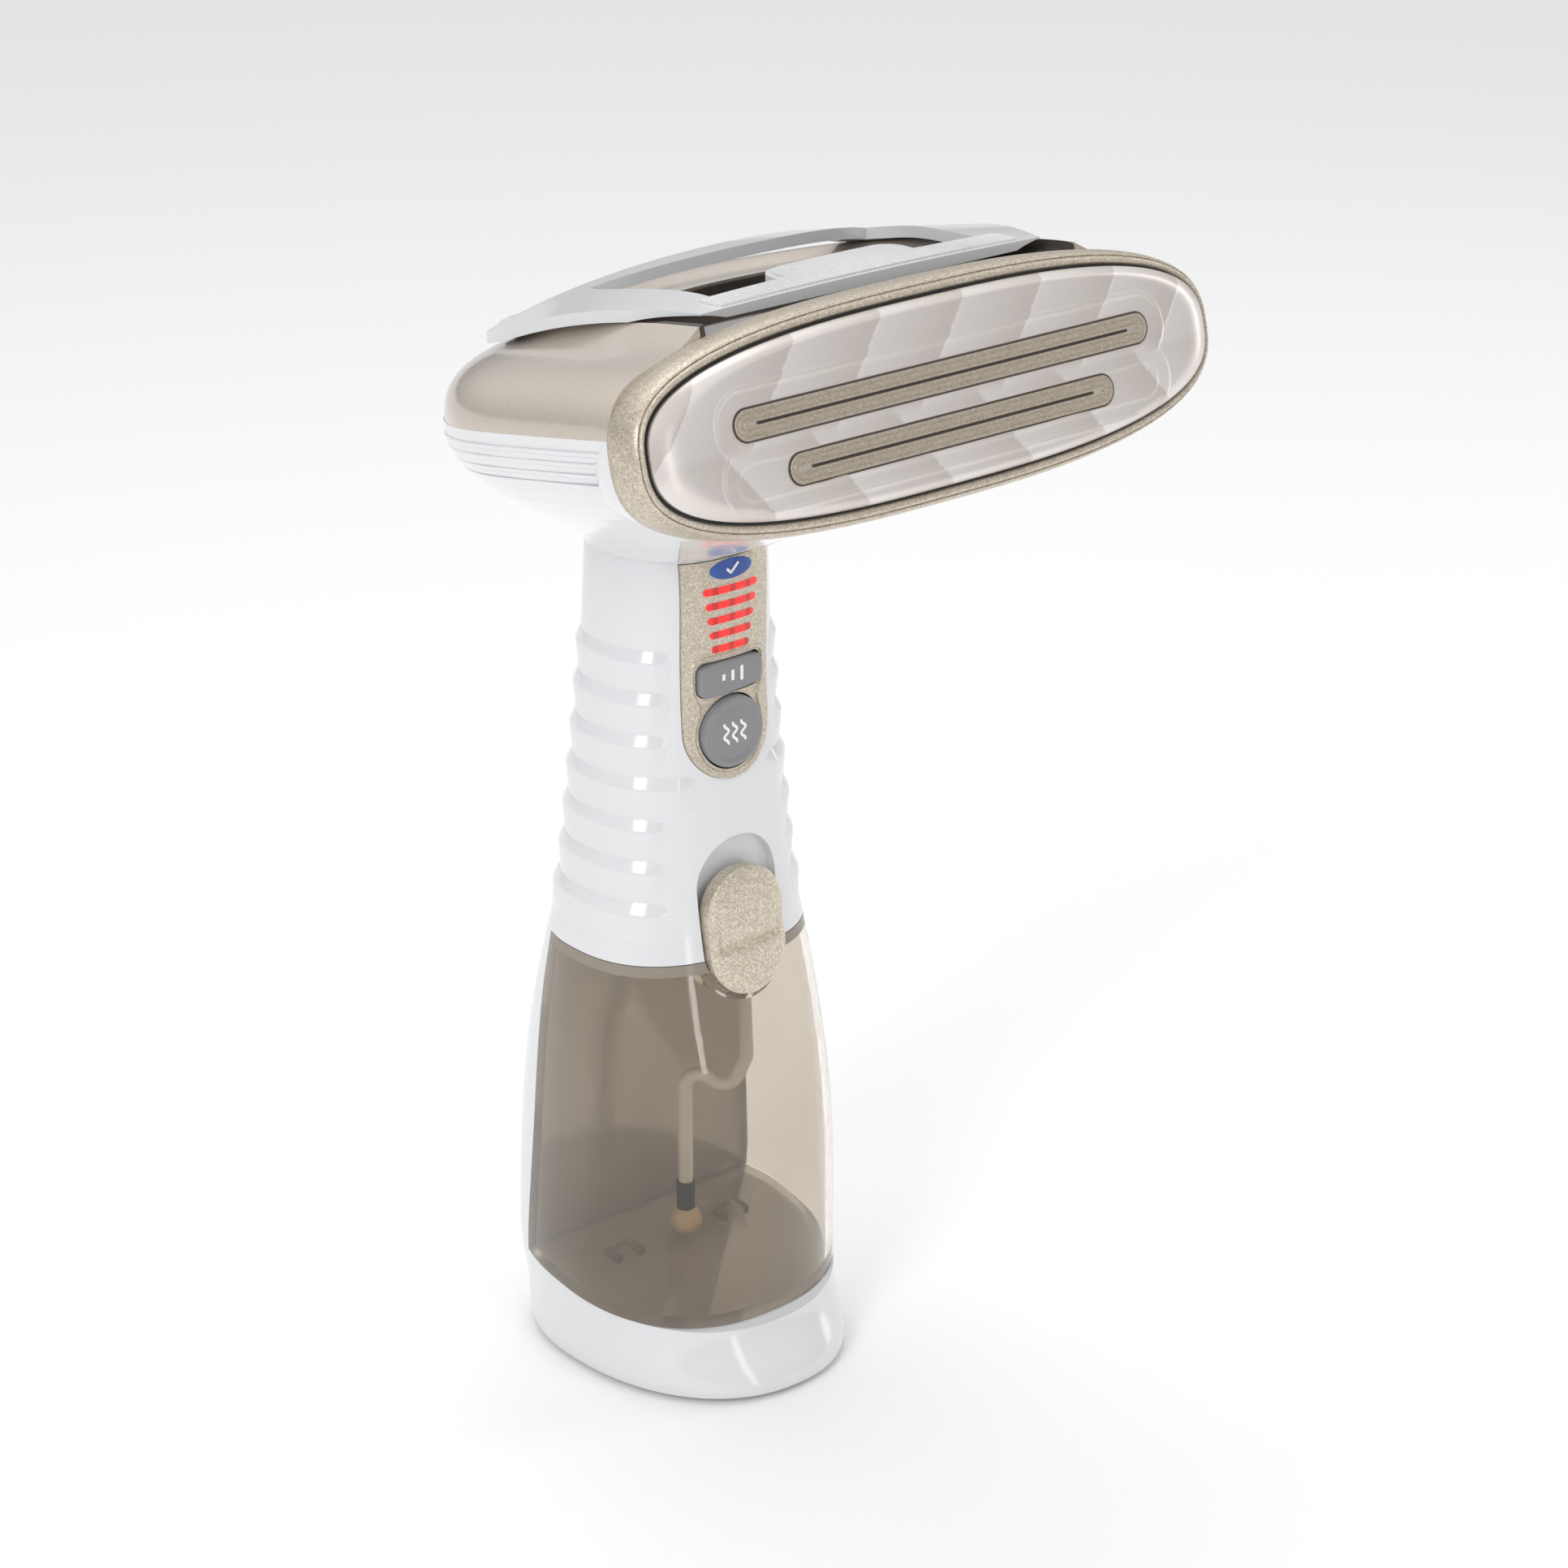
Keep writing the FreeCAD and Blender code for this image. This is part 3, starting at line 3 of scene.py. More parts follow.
import bmesh
import bpy
import numpy as np
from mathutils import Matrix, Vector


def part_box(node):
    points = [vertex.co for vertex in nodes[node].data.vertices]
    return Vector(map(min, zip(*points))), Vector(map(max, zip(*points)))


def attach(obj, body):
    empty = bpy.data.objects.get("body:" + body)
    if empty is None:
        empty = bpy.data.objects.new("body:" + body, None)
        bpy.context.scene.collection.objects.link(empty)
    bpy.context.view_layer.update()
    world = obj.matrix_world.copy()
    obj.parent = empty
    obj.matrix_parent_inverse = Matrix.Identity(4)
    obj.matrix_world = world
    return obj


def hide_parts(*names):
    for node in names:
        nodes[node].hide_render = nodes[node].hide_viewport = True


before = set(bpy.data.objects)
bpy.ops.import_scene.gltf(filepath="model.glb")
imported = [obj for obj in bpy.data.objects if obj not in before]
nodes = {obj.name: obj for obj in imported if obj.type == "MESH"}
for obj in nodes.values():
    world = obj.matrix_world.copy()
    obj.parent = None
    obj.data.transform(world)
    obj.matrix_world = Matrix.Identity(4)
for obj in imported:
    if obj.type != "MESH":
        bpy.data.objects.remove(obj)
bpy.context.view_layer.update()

# ---------------------------------------------------------------- camera and studio
# A long lens looks down from the front left. A sheet of pale card is floor, and
# large soft boxes give the white plastic its long clean highlights.

MM = 0.001
view_turn, view_rise = math.radians(-40.4), math.radians(22.2)
view_target = np.array([0.0, -0.0115, 0.186])
view_back = np.array([math.sin(view_turn) * math.cos(view_rise),
                      -math.cos(view_turn) * math.cos(view_rise), math.sin(view_rise)])
camera_data = bpy.data.cameras.new("camera")
camera_data.lens = 94.6
camera_data.sensor_width = 36
camera = bpy.data.objects.new("camera", camera_data)
bpy.context.scene.collection.objects.link(camera)
camera.location = view_target + view_back * 1.12
camera.rotation_euler = (math.pi / 2 - view_rise, 0, view_turn)
bpy.context.scene.camera = camera
bpy.context.scene.view_settings.view_transform = "Standard"


def linear(code):
    """sRGB hex to linear RGBA by the standard curve."""
    values = [int(code[place:place + 2], 16) / 255 for place in (1, 3, 5)]
    return tuple(v / 12.92 if v <= 0.04045 else ((v + 0.055) / 1.055) ** 2.4 for v in values) + (1.0,)


def soft_box(name, place, aim, wide, tall, power, tint="#FFFFFF"):
    """A rectangular area light turned towards a point."""
    data = bpy.data.lights.new(name, "AREA")
    data.shape = "RECTANGLE"
    data.size, data.size_y = wide, tall
    data.energy = power
    data.color = linear(tint)[:3]
    lamp = bpy.data.objects.new(name, data)
    bpy.context.scene.collection.objects.link(lamp)
    lamp.location = place
    way = lamp.location - type(lamp.location)(aim)
    lamp.rotation_euler = way.to_track_quat("Z", "Y").to_euler()


soft_box("key_box", (-1.3, -0.55, 0.95), (0, 0, 0.2), 0.5, 0.9, 8.0)
soft_box("side_strip", (1.3, -0.35, 0.55), (0, 0, 0.2), 0.3, 1.1, 3.0)
soft_box("front_strip", (-0.15, -1.5, 0.4), (0, 0, 0.2), 0.14, 1.2, 2.0)
soft_box("top_box", (0.1, 0.5, 1.5), (0, 0, 0.3), 1.1, 0.8, 5.0)


def add_node(tree, kind, settings=None, links=None):
    """One shader node, with its settings, and links given as input: output socket."""
    node = tree.nodes.new(kind)
    for key, value in (settings or {}).items():
        if isinstance(key, str) and hasattr(node, key):
            setattr(node, key, value)
        else:
            node.inputs[key].default_value = value
    for key, socket in (links or {}).items():
        tree.links.new(socket, node.inputs[key])
    return node


def finish_of(name, sockets):
    """A new material whose Principled shader has these socket values, with its tree and shader."""
    made = bpy.data.materials.new(name)
    made.use_nodes = True
    shader = made.node_tree.nodes["Principled BSDF"]
    for key, value in sockets.items():
        shader.inputs[key].default_value = value
    return made, made.node_tree, shader


def wear_it(material, *names):
    """Give CAD nodes this finish."""
    for name in names:
        slots = nodes[name].data.materials
        slots.clear()
        slots.append(material)


world = bpy.data.worlds.new("studio")
bpy.context.scene.world = world
world.use_nodes = True
room = world.node_tree
room_place = add_node(room, "ShaderNodeTexCoord")
room_split = add_node(room, "ShaderNodeSeparateXYZ", None, {"Vector": room_place.outputs["Generated"]})
room_ramp = add_node(room, "ShaderNodeValToRGB", None, {"Fac": room_split.outputs["Z"]})
room_ramp.color_ramp.elements[0].position = 0.0
room_ramp.color_ramp.elements[0].color = linear("#6E7073")
room_ramp.color_ramp.elements[1].position = 0.62
room_ramp.color_ramp.elements[1].color = linear("#FFFFFF")
room.links.new(room_ramp.outputs["Color"], room.nodes["Background"].inputs["Color"])
room.nodes["Background"].inputs["Strength"].default_value = 0.84

card, card_tree, card_shader = finish_of("pale_card", {"Base Color": linear("#FCFCFC"), "Roughness": 0.75})
card_grain = add_node(card_tree, "ShaderNodeTexNoise", {"Scale": 40.0, "Detail": 2.0})
card_tree.links.new(add_node(card_tree, "ShaderNodeBump", {"Strength": 0.02, "Distance": 0.001},
                             {"Height": card_grain.outputs["Fac"]}).outputs["Normal"],
                    card_shader.inputs["Normal"])
floor_data = bpy.data.meshes.new("floor")
floor_reach = 60.0
floor_data.from_pydata([(-floor_reach, -floor_reach, 0), (floor_reach, -floor_reach, 0),
                        (floor_reach, floor_reach, 0), (-floor_reach, floor_reach, 0)], [], [(0, 1, 2, 3)])
floor = bpy.data.objects.new("floor", floor_data)
bpy.context.scene.collection.objects.link(floor)
floor_data.materials.append(card)

# ---------------------------------------------------------------- white casing
# Foot, handle shells and head casing are injection moulded in white ABS from polished
# tools: hard gloss, with the faint waviness that thick mouldings keep.


def moulded_white(name, colour, roughness):
    """Polished white ABS: near white, clear gloss, a long faint ripple about 9 mm across."""
    made, tree, shader = finish_of(name, {"Base Color": linear(colour), "Roughness": roughness, "IOR": 1.53,
                                          "Coat Weight": 0.35, "Coat Roughness": 0.05})
    place = add_node(tree, "ShaderNodeTexCoord")
    ripple = add_node(tree, "ShaderNodeTexNoise", {"Scale": 110.0, "Detail": 1.0},
                      {"Vector": place.outputs["Object"]})
    bump = add_node(tree, "ShaderNodeBump", {"Strength": 0.05, "Distance": 0.0004},
                    {"Height": ripple.outputs["Fac"]})
    tree.links.new(bump.outputs["Normal"], shader.inputs["Normal"])
    return made


white_abs = moulded_white("white_abs_moulded", "#DEDFE1", 0.16)
wear_it(white_abs, "base_shell", "handle_rear_shell", "handle_front_shell", "lower_head_shell", "dock_plate")
cover_white = moulded_white("base_cover_textured_abs", "#D3D4D6", 0.45)
wear_it(cover_white, "base_cover")


def superellipse(angle, side, reach_back, reach_front, power):
    """Outline point at an angle: |x/side|^p + |y/reach|^p = 1, with its own reach to each side of y = 0."""
    c, s = np.cos(angle), np.sin(angle)
    x = side * np.sign(c) * np.abs(c) ** (2 / power)
    reach = np.where(s >= 0, reach_back, reach_front)
    return x, reach * np.sign(s) * np.abs(s) ** (2 / power)


def smooth_rows(known, values, wanted):
    """Cubic through known rows (Catmull-Rom tangents on uneven spacing), read at the wanted places."""
    known, values = np.asarray(known, float), np.asarray(values, float)
    slope = np.gradient(values, known, axis=0)
    place = np.clip(np.searchsorted(known, wanted) - 1, 0, len(known) - 2)
    step = known[place + 1] - known[place]
    t = ((wanted - known[place]) / step)[..., None]
    h00, h10 = 2 * t ** 3 - 3 * t ** 2 + 1, t ** 3 - 2 * t ** 2 + t
    h01, h11 = -2 * t ** 3 + 3 * t ** 2, t ** 3 - t ** 2
    step = step[..., None]
    return h00 * values[place] + h10 * step * slope[place] + h01 * values[place + 1] + h11 * step * slope[place + 1]


BODY_Y = 35.9
BODY_ROWS = [(17.0, 42, 43.2, 45.6), (60.3, 42, 43.2, 45.6), (99.8, 39.7, 38.7, 40.4), (131, 36, 31.4, 32),
             (149.4, 32.9, 28.5, 27.8), (172.4, 30.6, 26.5, 24.8), (196, 28.5, 24.6, 22), (220.7, 26.1, 24.6, 20.8),
             (246, 24.5, 24.6, 20)]


def body_skin(angle, height, proud):
    """Point on the body's outer form, in millimetres: superellipse plans of power 2.4, grown by an offset."""
    rows = smooth_rows([row[0] for row in BODY_ROWS], [row[1:] for row in BODY_ROWS], height)
    side, front, rear = (rows[..., k] + proud for k in range(3))
    x, y = superellipse(angle, side, rear, front, 2.4)
    return np.stack([x, BODY_Y + y, np.broadcast_to(height, x.shape)], -1)


def woven(name, points, material, body, loop_rows=False, loop_columns=False, sharp=None, close_ends=False):
    """Mesh of quads over a rows x columns grid of points in millimetres, joined round where asked."""
    rows, columns = points.shape[:2]
    r = np.arange(rows if loop_rows else rows - 1)
    c = np.arange(columns if loop_columns else columns - 1)
    r0, c0 = np.meshgrid(r, c, indexing="ij")
    r1, c1 = (r0 + 1) % rows, (c0 + 1) % columns
    quads = np.stack([r0 * columns + c0, r0 * columns + c1, r1 * columns + c1, r1 * columns + c0], -1)
    faces = [list(map(int, quad)) for quad in quads.reshape(-1, 4)]
    if close_ends:
        faces.append([int(k) for k in range(columns)][::-1])
        faces.append([int((rows - 1) * columns + k) for k in range(columns)])
    mesh = bpy.data.meshes.new(name)
    mesh.from_pydata(points.reshape(-1, 3) * MM, [], faces)
    mesh.polygons.foreach_set("use_smooth", np.ones(len(faces), bool))
    mesh.materials.append(material)
    piece = bpy.data.objects.new(name, mesh)
    bpy.context.scene.collection.objects.link(piece)
    joined = bmesh.new()
    joined.from_mesh(mesh)
    bmesh.ops.remove_doubles(joined, verts=joined.verts, dist=2e-6)
    bmesh.ops.recalc_face_normals(joined, faces=joined.faces)
    joined.to_mesh(mesh)
    joined.free()
    if sharp:
        mesh.set_sharp_from_angle(angle=math.radians(sharp))
    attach(piece, body)
    return piece


# ---------------------------------------------------------------- handle grip
# Seven shingled steps are moulded into the handle between latch and head. Each step
# slopes out over its top third and then falls straight back to the next one.

RIB_LOW, RIB_PITCH, RIB_COUNT = 149.0, 12.0, 7
RIB_PROUD, RIB_BETWEEN, DIVE = 1.25, 173.0, 11.0
rib_turn = np.linspace(-math.pi, math.pi, 241)[:-1]


def rib_reach(angle, base):
    """Share of a step's height by angle, and how deep its end dives behind panel and latch recess."""
    from_front = np.abs((angle + math.pi / 2 + math.pi) % (2 * math.pi) - math.pi)
    open_from = 0.30 if base == RIB_BETWEEN else 0.62
    share = np.clip((from_front - open_from) / 0.22, 0, 1)
    return share, DIVE * np.clip((open_from - from_front) / 0.12, 0, 1)


def rib_row(base, angle):
    """Closed profile of one step: six points from its lower edge up over the crest and back inside."""
    climb = np.array([0.0, 0.3, 4.0, 7.6, 8.3, 8.9, 11.7, 11.95, 6.0])
    proud = np.array([-0.5, 0.05, 0.50, 0.98, 1.0, 0.92, 0.05, -0.5, -0.9])
    weight, dive = rib_reach(angle, base)
    points = []
    for rise, out in zip(climb, proud):
        lift = np.where(out > 0, out * RIB_PROUD * weight - 0.25 * (1 - weight), out) - dive
        points.append(body_skin(angle, np.full_like(angle, base + rise), lift))
    return np.array(points)


for number in range(RIB_COUNT):
    step = rib_row(RIB_LOW - RIB_PITCH + RIB_PITCH * number, rib_turn)
    woven("grip_step_%d" % (number + 1), step, white_abs, "body", True, True, 22)

# ---------------------------------------------------------------- champagne casing
# The hood over the head is ABS under champagne lacquer with a fine pearl: it mirrors the
# room almost as clearly as paint on a car.


def lacquer(name, colour, deep, metal, roughness, fleck):
    """Pearl lacquer: two close shades mixed by flakes of about 0.3 mm, under a clear coat."""
    made, tree, shader = finish_of(name, {"Roughness": roughness, "Metallic": metal, "Coat Weight": 0.7,
                                          "Coat Roughness": 0.06})
    place = add_node(tree, "ShaderNodeTexCoord")
    flakes = add_node(tree, "ShaderNodeTexVoronoi", {"Scale": fleck}, {"Vector": place.outputs["Object"]})
    shade = add_node(tree, "ShaderNodeMix", {"data_type": "RGBA", 6: linear(deep), 7: linear(colour)},
                     {0: flakes.outputs["Color"]})
    tree.links.new(shade.outputs[2], shader.inputs["Base Color"])
    bump = add_node(tree, "ShaderNodeBump", {"Strength": 0.06, "Distance": 0.0002},
                    {"Height": flakes.outputs["Distance"]})
    tree.links.new(bump.outputs["Normal"], shader.inputs["Normal"])
    return made


hood_lacquer = lacquer("champagne_lacquer", "#CFC5B9", "#C3B8AB", 0.3, 0.2, 3300.0)
wear_it(hood_lacquer, "upper_hood", "chin_trim")

# ---------------------------------------------------------------- casing lines
# Four fine rounded bands are moulded into the white casing just under the seam with the hood;
# they follow its outline from one end of the bezel round the back to the other.

SEAM_MIDDLE = np.array([0.0, -11.5, 305.1])
SEAM_FALL = math.radians(10.5)
casing_side, casing_rear, casing_front = 96.0, 66.0, 85.5
band_front = np.linspace(-44.0, 0.0, 24)[:-1]
band_turn = np.linspace(0, math.pi, 180)


def casing_outline(drop):
    """Head casing outline at a drop below the seam: power 5 in front, 2.2 behind, narrowing as drop ^ 1.82."""
    side = casing_side - 0.0624 * drop ** 1.82
    front_x = side * (1 - np.abs(band_front / casing_front) ** 5) ** 0.2
    rear_x, rear_y = superellipse(band_turn, side, casing_rear, casing_rear, 2.2)
    x = np.concatenate([front_x, rear_x, -front_x[::-1]])
    y = np.concatenate([band_front, rear_y, band_front[::-1]])
    return np.stack([x, SEAM_MIDDLE[1] + y, SEAM_MIDDLE[2] - drop - y * math.tan(SEAM_FALL)], -1)


for number, drop in enumerate((3.8, 7.0, 10.4, 13.8)):
    band = []
    for rise, out in ((-1.2, -1.1), (-0.75, 0.12), (-0.35, 0.36), (0.1, 0.4), (0.5, 0.1), (0.7, -1.1)):
        ring = casing_outline(drop - rise)
        outward = np.gradient(ring, axis=0)
        outward = np.stack([outward[:, 1], -outward[:, 0], np.zeros(len(ring))], -1)
        outward /= np.linalg.norm(outward, axis=1, keepdims=True)
        band.append(ring + out * outward)
    woven("casing_band_%d" % (number + 1), np.array(band).transpose(1, 0, 2), white_abs, "body",
          False, True, 50, True)

# ---------------------------------------------------------------- metallic paint
# Bezel, panel and latch are ABS sprayed with coarse champagne metallic: flakes near half a
# millimetre glint one by one.


def flake_paint(name, colour, dark, bright, fleck):
    """Coarse metallic paint: flakes differ in shade and tilt, so each one glints by itself."""
    made, tree, shader = finish_of(name, {"Roughness": 0.4, "Metallic": 0.55})
    place = add_node(tree, "ShaderNodeTexCoord")
    flakes = add_node(tree, "ShaderNodeTexVoronoi", {"Scale": fleck}, {"Vector": place.outputs["Object"]})
    split = add_node(tree, "ShaderNodeSeparateColor", None, {"Color": flakes.outputs["Color"]})
    ramp = add_node(tree, "ShaderNodeValToRGB", None, {"Fac": split.outputs["Red"]})
    stops = ramp.color_ramp.elements
    stops[0].position, stops[0].color = 0.0, linear(dark)
    stops[1].position, stops[1].color = 1.0, linear(bright)
    middle = stops.new(0.55)
    middle.color = linear(colour)
    tree.links.new(ramp.outputs["Color"], shader.inputs["Base Color"])
    bump = add_node(tree, "ShaderNodeBump", {"Strength": 0.32, "Distance": 0.0002},
                    {"Height": split.outputs["Green"]})
    tree.links.new(bump.outputs["Normal"], shader.inputs["Normal"])
    return made


metallic = flake_paint("champagne_metallic_paint", "#C6BBAA", "#B4A896", "#DCD4C7", 2600.0)
wear_it(metallic, "control_panel", "head_bezel")

# ---------------------------------------------------------------- release latch
# The latch is one moulded ABS cap, crowned across and along, with a curved thumb groove
# low on its face; it has the same coarse metallic paint.

latch_paint = flake_paint("latch_metallic_paint", "#CFC4B2", "#BBAF9C", "#E9E2D4", 2500.0)
latch_low, latch_high = (np.array(corner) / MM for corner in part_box("tank_latch"))
LATCH_LEAN = math.radians(7.0)
latch_middle = (latch_low + latch_high) / 2
latch_half = (latch_high[0] - latch_low[0]) / 2
latch_reach = 18.5
latch_up = np.array([0, math.sin(LATCH_LEAN), math.cos(LATCH_LEAN)])
latch_out = np.array([0, -math.cos(LATCH_LEAN), math.sin(LATCH_LEAN)])
latch_front = np.array([0, latch_low[1], latch_middle[2]])


def latch_point(ring, turn):
    """Capsule outline shrunk to a share of itself, crowned, with a groove that sags in the middle."""
    straight = (latch_reach - latch_half) * np.sign(np.sin(turn))
    x = ring * latch_half * np.cos(turn)
    z = ring * (straight + latch_half * np.sin(turn))
    crown = 1.7 * (1 - np.sqrt(np.clip(1 - 0.8 * ring ** 4, 0, 1))) + 1.0 * (x / latch_half) ** 2
    sag = z + 4.6 - 1.6 * (x / latch_half) ** 2
    groove = 1.6 * np.exp(-(np.minimum(sag, 0) / 0.6) ** 2 - (np.maximum(sag, 0) / 3.2) ** 2)
    return x, z, crown + groove


latch_turn = np.linspace(0, 2 * math.pi, 145)[:-1]
latch_rings = np.concatenate([np.linspace(0.0, 0.9, 34), [0.94, 0.97, 0.99, 1.0]])
latch_rows = []
for ring in latch_rings:
    x, z, back = latch_point(np.full_like(latch_turn, ring), latch_turn)
    latch_rows.append(latch_front + x[:, None] * [1, 0, 0] + z[:, None] * latch_up
                      - (back + 0.9)[:, None] * latch_out)
rim_x, rim_z, rim_back = latch_point(np.full_like(latch_turn, 0.995), latch_turn)
for scale in (0.995, 0.0):
    latch_rows.append(latch_front + scale * rim_x[:, None] * [1, 0, 0] + scale * rim_z[:, None] * latch_up
                      - 6.6 * latch_out)
latch = woven("latch_cap", np.array(latch_rows), latch_paint, "latch", False, True, 40)
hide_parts("tank_latch")

# ---------------------------------------------------------------- steam plate
# The sole plate is pressed aluminium under a pearl coat. Its face stands a little proud,
# falls in shallow quilted facets, and has a fine raised line round the two nozzle bars.
# Its colour runs from light to darker across each facet: painted shade of the facet's tilt.

PLATE_Y, PLATE_Z, PLATE_TILT = -75.1, 312.0, math.radians(14.1)
PLATE_UP = np.array([0, math.sin(PLATE_TILT), math.cos(PLATE_TILT)])
PLATE_BACK = np.array([0, math.cos(PLATE_TILT), -math.sin(PLATE_TILT)])
PLATE_POWER = 2.78
plate_side, plate_rise = 93.0, 23.7


def on_head(u, v, w):
    """Point u across, v up and w behind the plate's face, in millimetres."""
    u, v, w = np.broadcast_arrays(u, v, w)
    across = np.stack([u, np.full(u.shape, PLATE_Y), np.full(u.shape, PLATE_Z)], -1)
    return across + v[..., None] * PLATE_UP + w[..., None] * PLATE_BACK


def stadium_distance(u, v, half, centre):
    """Distance from a level line of half length half at height centre."""
    return np.hypot(np.maximum(np.abs(u) - half, 0), v - centre)


FACET_PITCH, FACET_RISE = 27.5, 0.16


def facet_share(u, v):
    """Place within a slanting facet, 0 to 1: they lean right above the middle and left below it."""
    above = np.clip((v + 4.0) / 3.0, 0, 1)
    right = ((u - 0.78 * v) / FACET_PITCH + 0.3) % 1.0
    left = ((u + 0.78 * v) / FACET_PITCH + 0.75) % 1.0
    return right * above + left * (1 - above)


plate_columns, plate_rows = 430, 84
across = np.sin(np.linspace(-math.pi / 2, math.pi / 2, plate_columns))
upward = np.sin(np.linspace(-math.pi / 2, math.pi / 2, plate_rows))
flat_u = plate_side * np.broadcast_to(across, (plate_rows, plate_columns))
flat_v = plate_rise * upward[:, None] * (1 - np.abs(across) ** PLATE_POWER)[None] ** (1 / PLATE_POWER)
rim = (np.abs(flat_u / plate_side) ** PLATE_POWER + np.abs(flat_v / plate_rise) ** PLATE_POWER)
rim = rim ** (1 / PLATE_POWER)
edge_fall = np.clip((rim - 0.90) / 0.10, 0, 1)
share = facet_share(flat_u, flat_v)
line_gap = stadium_distance(flat_u, np.abs(flat_v + 3.0), 66.0, 6.7)
raised_line = np.exp(-((line_gap - 9.0) / 0.45) ** 2) + 0.8 * np.exp(-((line_gap - 4.6) / 0.4) ** 2) * (flat_v < 1)
face_w = -0.42 - FACET_RISE * (share - 0.5) * (1 - edge_fall) - 0.26 * raised_line + 2.9 * edge_fall ** 2.2
plate_face = on_head(flat_u, flat_v, face_w)
plate_rear = on_head(flat_u[::-1], flat_v[::-1], np.full(flat_u.shape, 3.9))

pearl, pearl_tree, pearl_shader = finish_of("pearl_coated_aluminium_painted_facet_shade", {"Roughness": 0.34, "Metallic": 0.4,
                                                                      "Coat Weight": 0.25, "Coat Roughness": 0.2})
pearl_mark = add_node(pearl_tree, "ShaderNodeAttribute", {"attribute_name": "facet"})
# painted shade: this ramp colours each facet from light to darker by its place in the facet
pearl_facet_shade_ramp = add_node(pearl_tree, "ShaderNodeValToRGB", None, {"Fac": pearl_mark.outputs["Fac"]})
pearl_facet_shade_ramp.color_ramp.elements[0].color = linear("#E6E0DC")
pearl_facet_shade_ramp.color_ramp.elements[1].color = linear("#CFC6C0")
pearl_place = add_node(pearl_tree, "ShaderNodeTexCoord")
pearl_grain = add_node(pearl_tree, "ShaderNodeTexNoise", {"Scale": 2400.0, "Detail": 1.0},
                       {"Vector": pearl_place.outputs["Object"]})
pearl_shade = add_node(pearl_tree, "ShaderNodeMix", {"data_type": "RGBA", "blend_type": "OVERLAY", 0: 0.16},
                       {6: pearl_facet_shade_ramp.outputs["Color"], 7: pearl_grain.outputs["Color"]})
pearl_tree.links.new(pearl_shade.outputs[2], pearl_shader.inputs["Base Color"])
pearl_bump = add_node(pearl_tree, "ShaderNodeBump", {"Strength": 0.05, "Distance": 0.0001},
                      {"Height": pearl_grain.outputs["Fac"]})
pearl_tree.links.new(pearl_bump.outputs["Normal"], pearl_shader.inputs["Normal"])

plate = woven("steam_plate_face", np.concatenate([plate_face, plate_rear]), pearl, "body", True)
plate_points = np.empty(len(plate.data.vertices) * 3, np.float32)
plate.data.vertices.foreach_get("co", plate_points)
plate_points = plate_points.reshape(-1, 3) / MM - np.array([0, PLATE_Y, PLATE_Z])
# the facet place is stored per point to drive the painted facet shade
mark = plate.data.attributes.new("facet", "FLOAT", "POINT")
mark.data.foreach_set("value", facet_share(plate_points[:, 0], plate_points @ PLATE_UP).astype(np.float32))
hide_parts("steam_plate")

# ---------------------------------------------------------------- nozzle bars
# Two stadium-shaped bars of champagne-coated metal sit in the plate, each in a gap whose
# shade is painted as a thin dark ring round the bar. A steam slit runs down the middle of each,
# with fine raised lines round it; a dark strip set in the slit is painted shade.

bar_metal = flake_paint("nozzle_bar_coat", "#B5AA99", "#A4998A", "#C9BFB0", 3600.0)
# painted shade: this dark fill stands in for the shade inside the slits and the gaps round the bars
gap_shade_fill, gap_tree, gap_shader = finish_of("dark_gap_fill_painted_shade", {"Base Color": linear("#4A4139"),
                                                                 "Roughness": 0.6})
gap_grain = add_node(gap_tree, "ShaderNodeTexNoise", {"Scale": 1500.0})
gap_tree.links.new(add_node(gap_tree, "ShaderNodeBump", {"Strength": 0.1, "Distance": 0.0002},
                            {"Height": gap_grain.outputs["Fac"]}).outputs["Normal"],
                   gap_shader.inputs["Normal"])
SLIT_HALF = 0.42


def stadium_ring(half, centre, profile, steps=40):
    """A profile of (distance, depth) points carried round a stadium whose straight part is 2 x half long."""
    turn = np.linspace(-math.pi / 2, math.pi / 2, steps)
    run = np.linspace(-half, half, steps)
    right = np.stack([np.full(steps, half), np.zeros(steps), np.cos(turn), np.sin(turn)])
    top = np.stack([run[::-1][1:-1], np.zeros(steps - 2), np.zeros(steps - 2), np.ones(steps - 2)])
    left = np.stack([np.full(steps, -half), np.zeros(steps), -np.cos(turn), -np.sin(turn)])
    low = np.stack([run[1:-1], np.zeros(steps - 2), np.zeros(steps - 2), -np.ones(steps - 2)])
    path = np.concatenate([right, top, left, low], 1)
    reach = np.array([p[0] for p in profile])[:, None]
    depth = np.array([p[1] for p in profile])[:, None]
    return on_head(path[0] + reach * path[2], centre + path[1] + reach * path[3], depth + 0 * path[0])


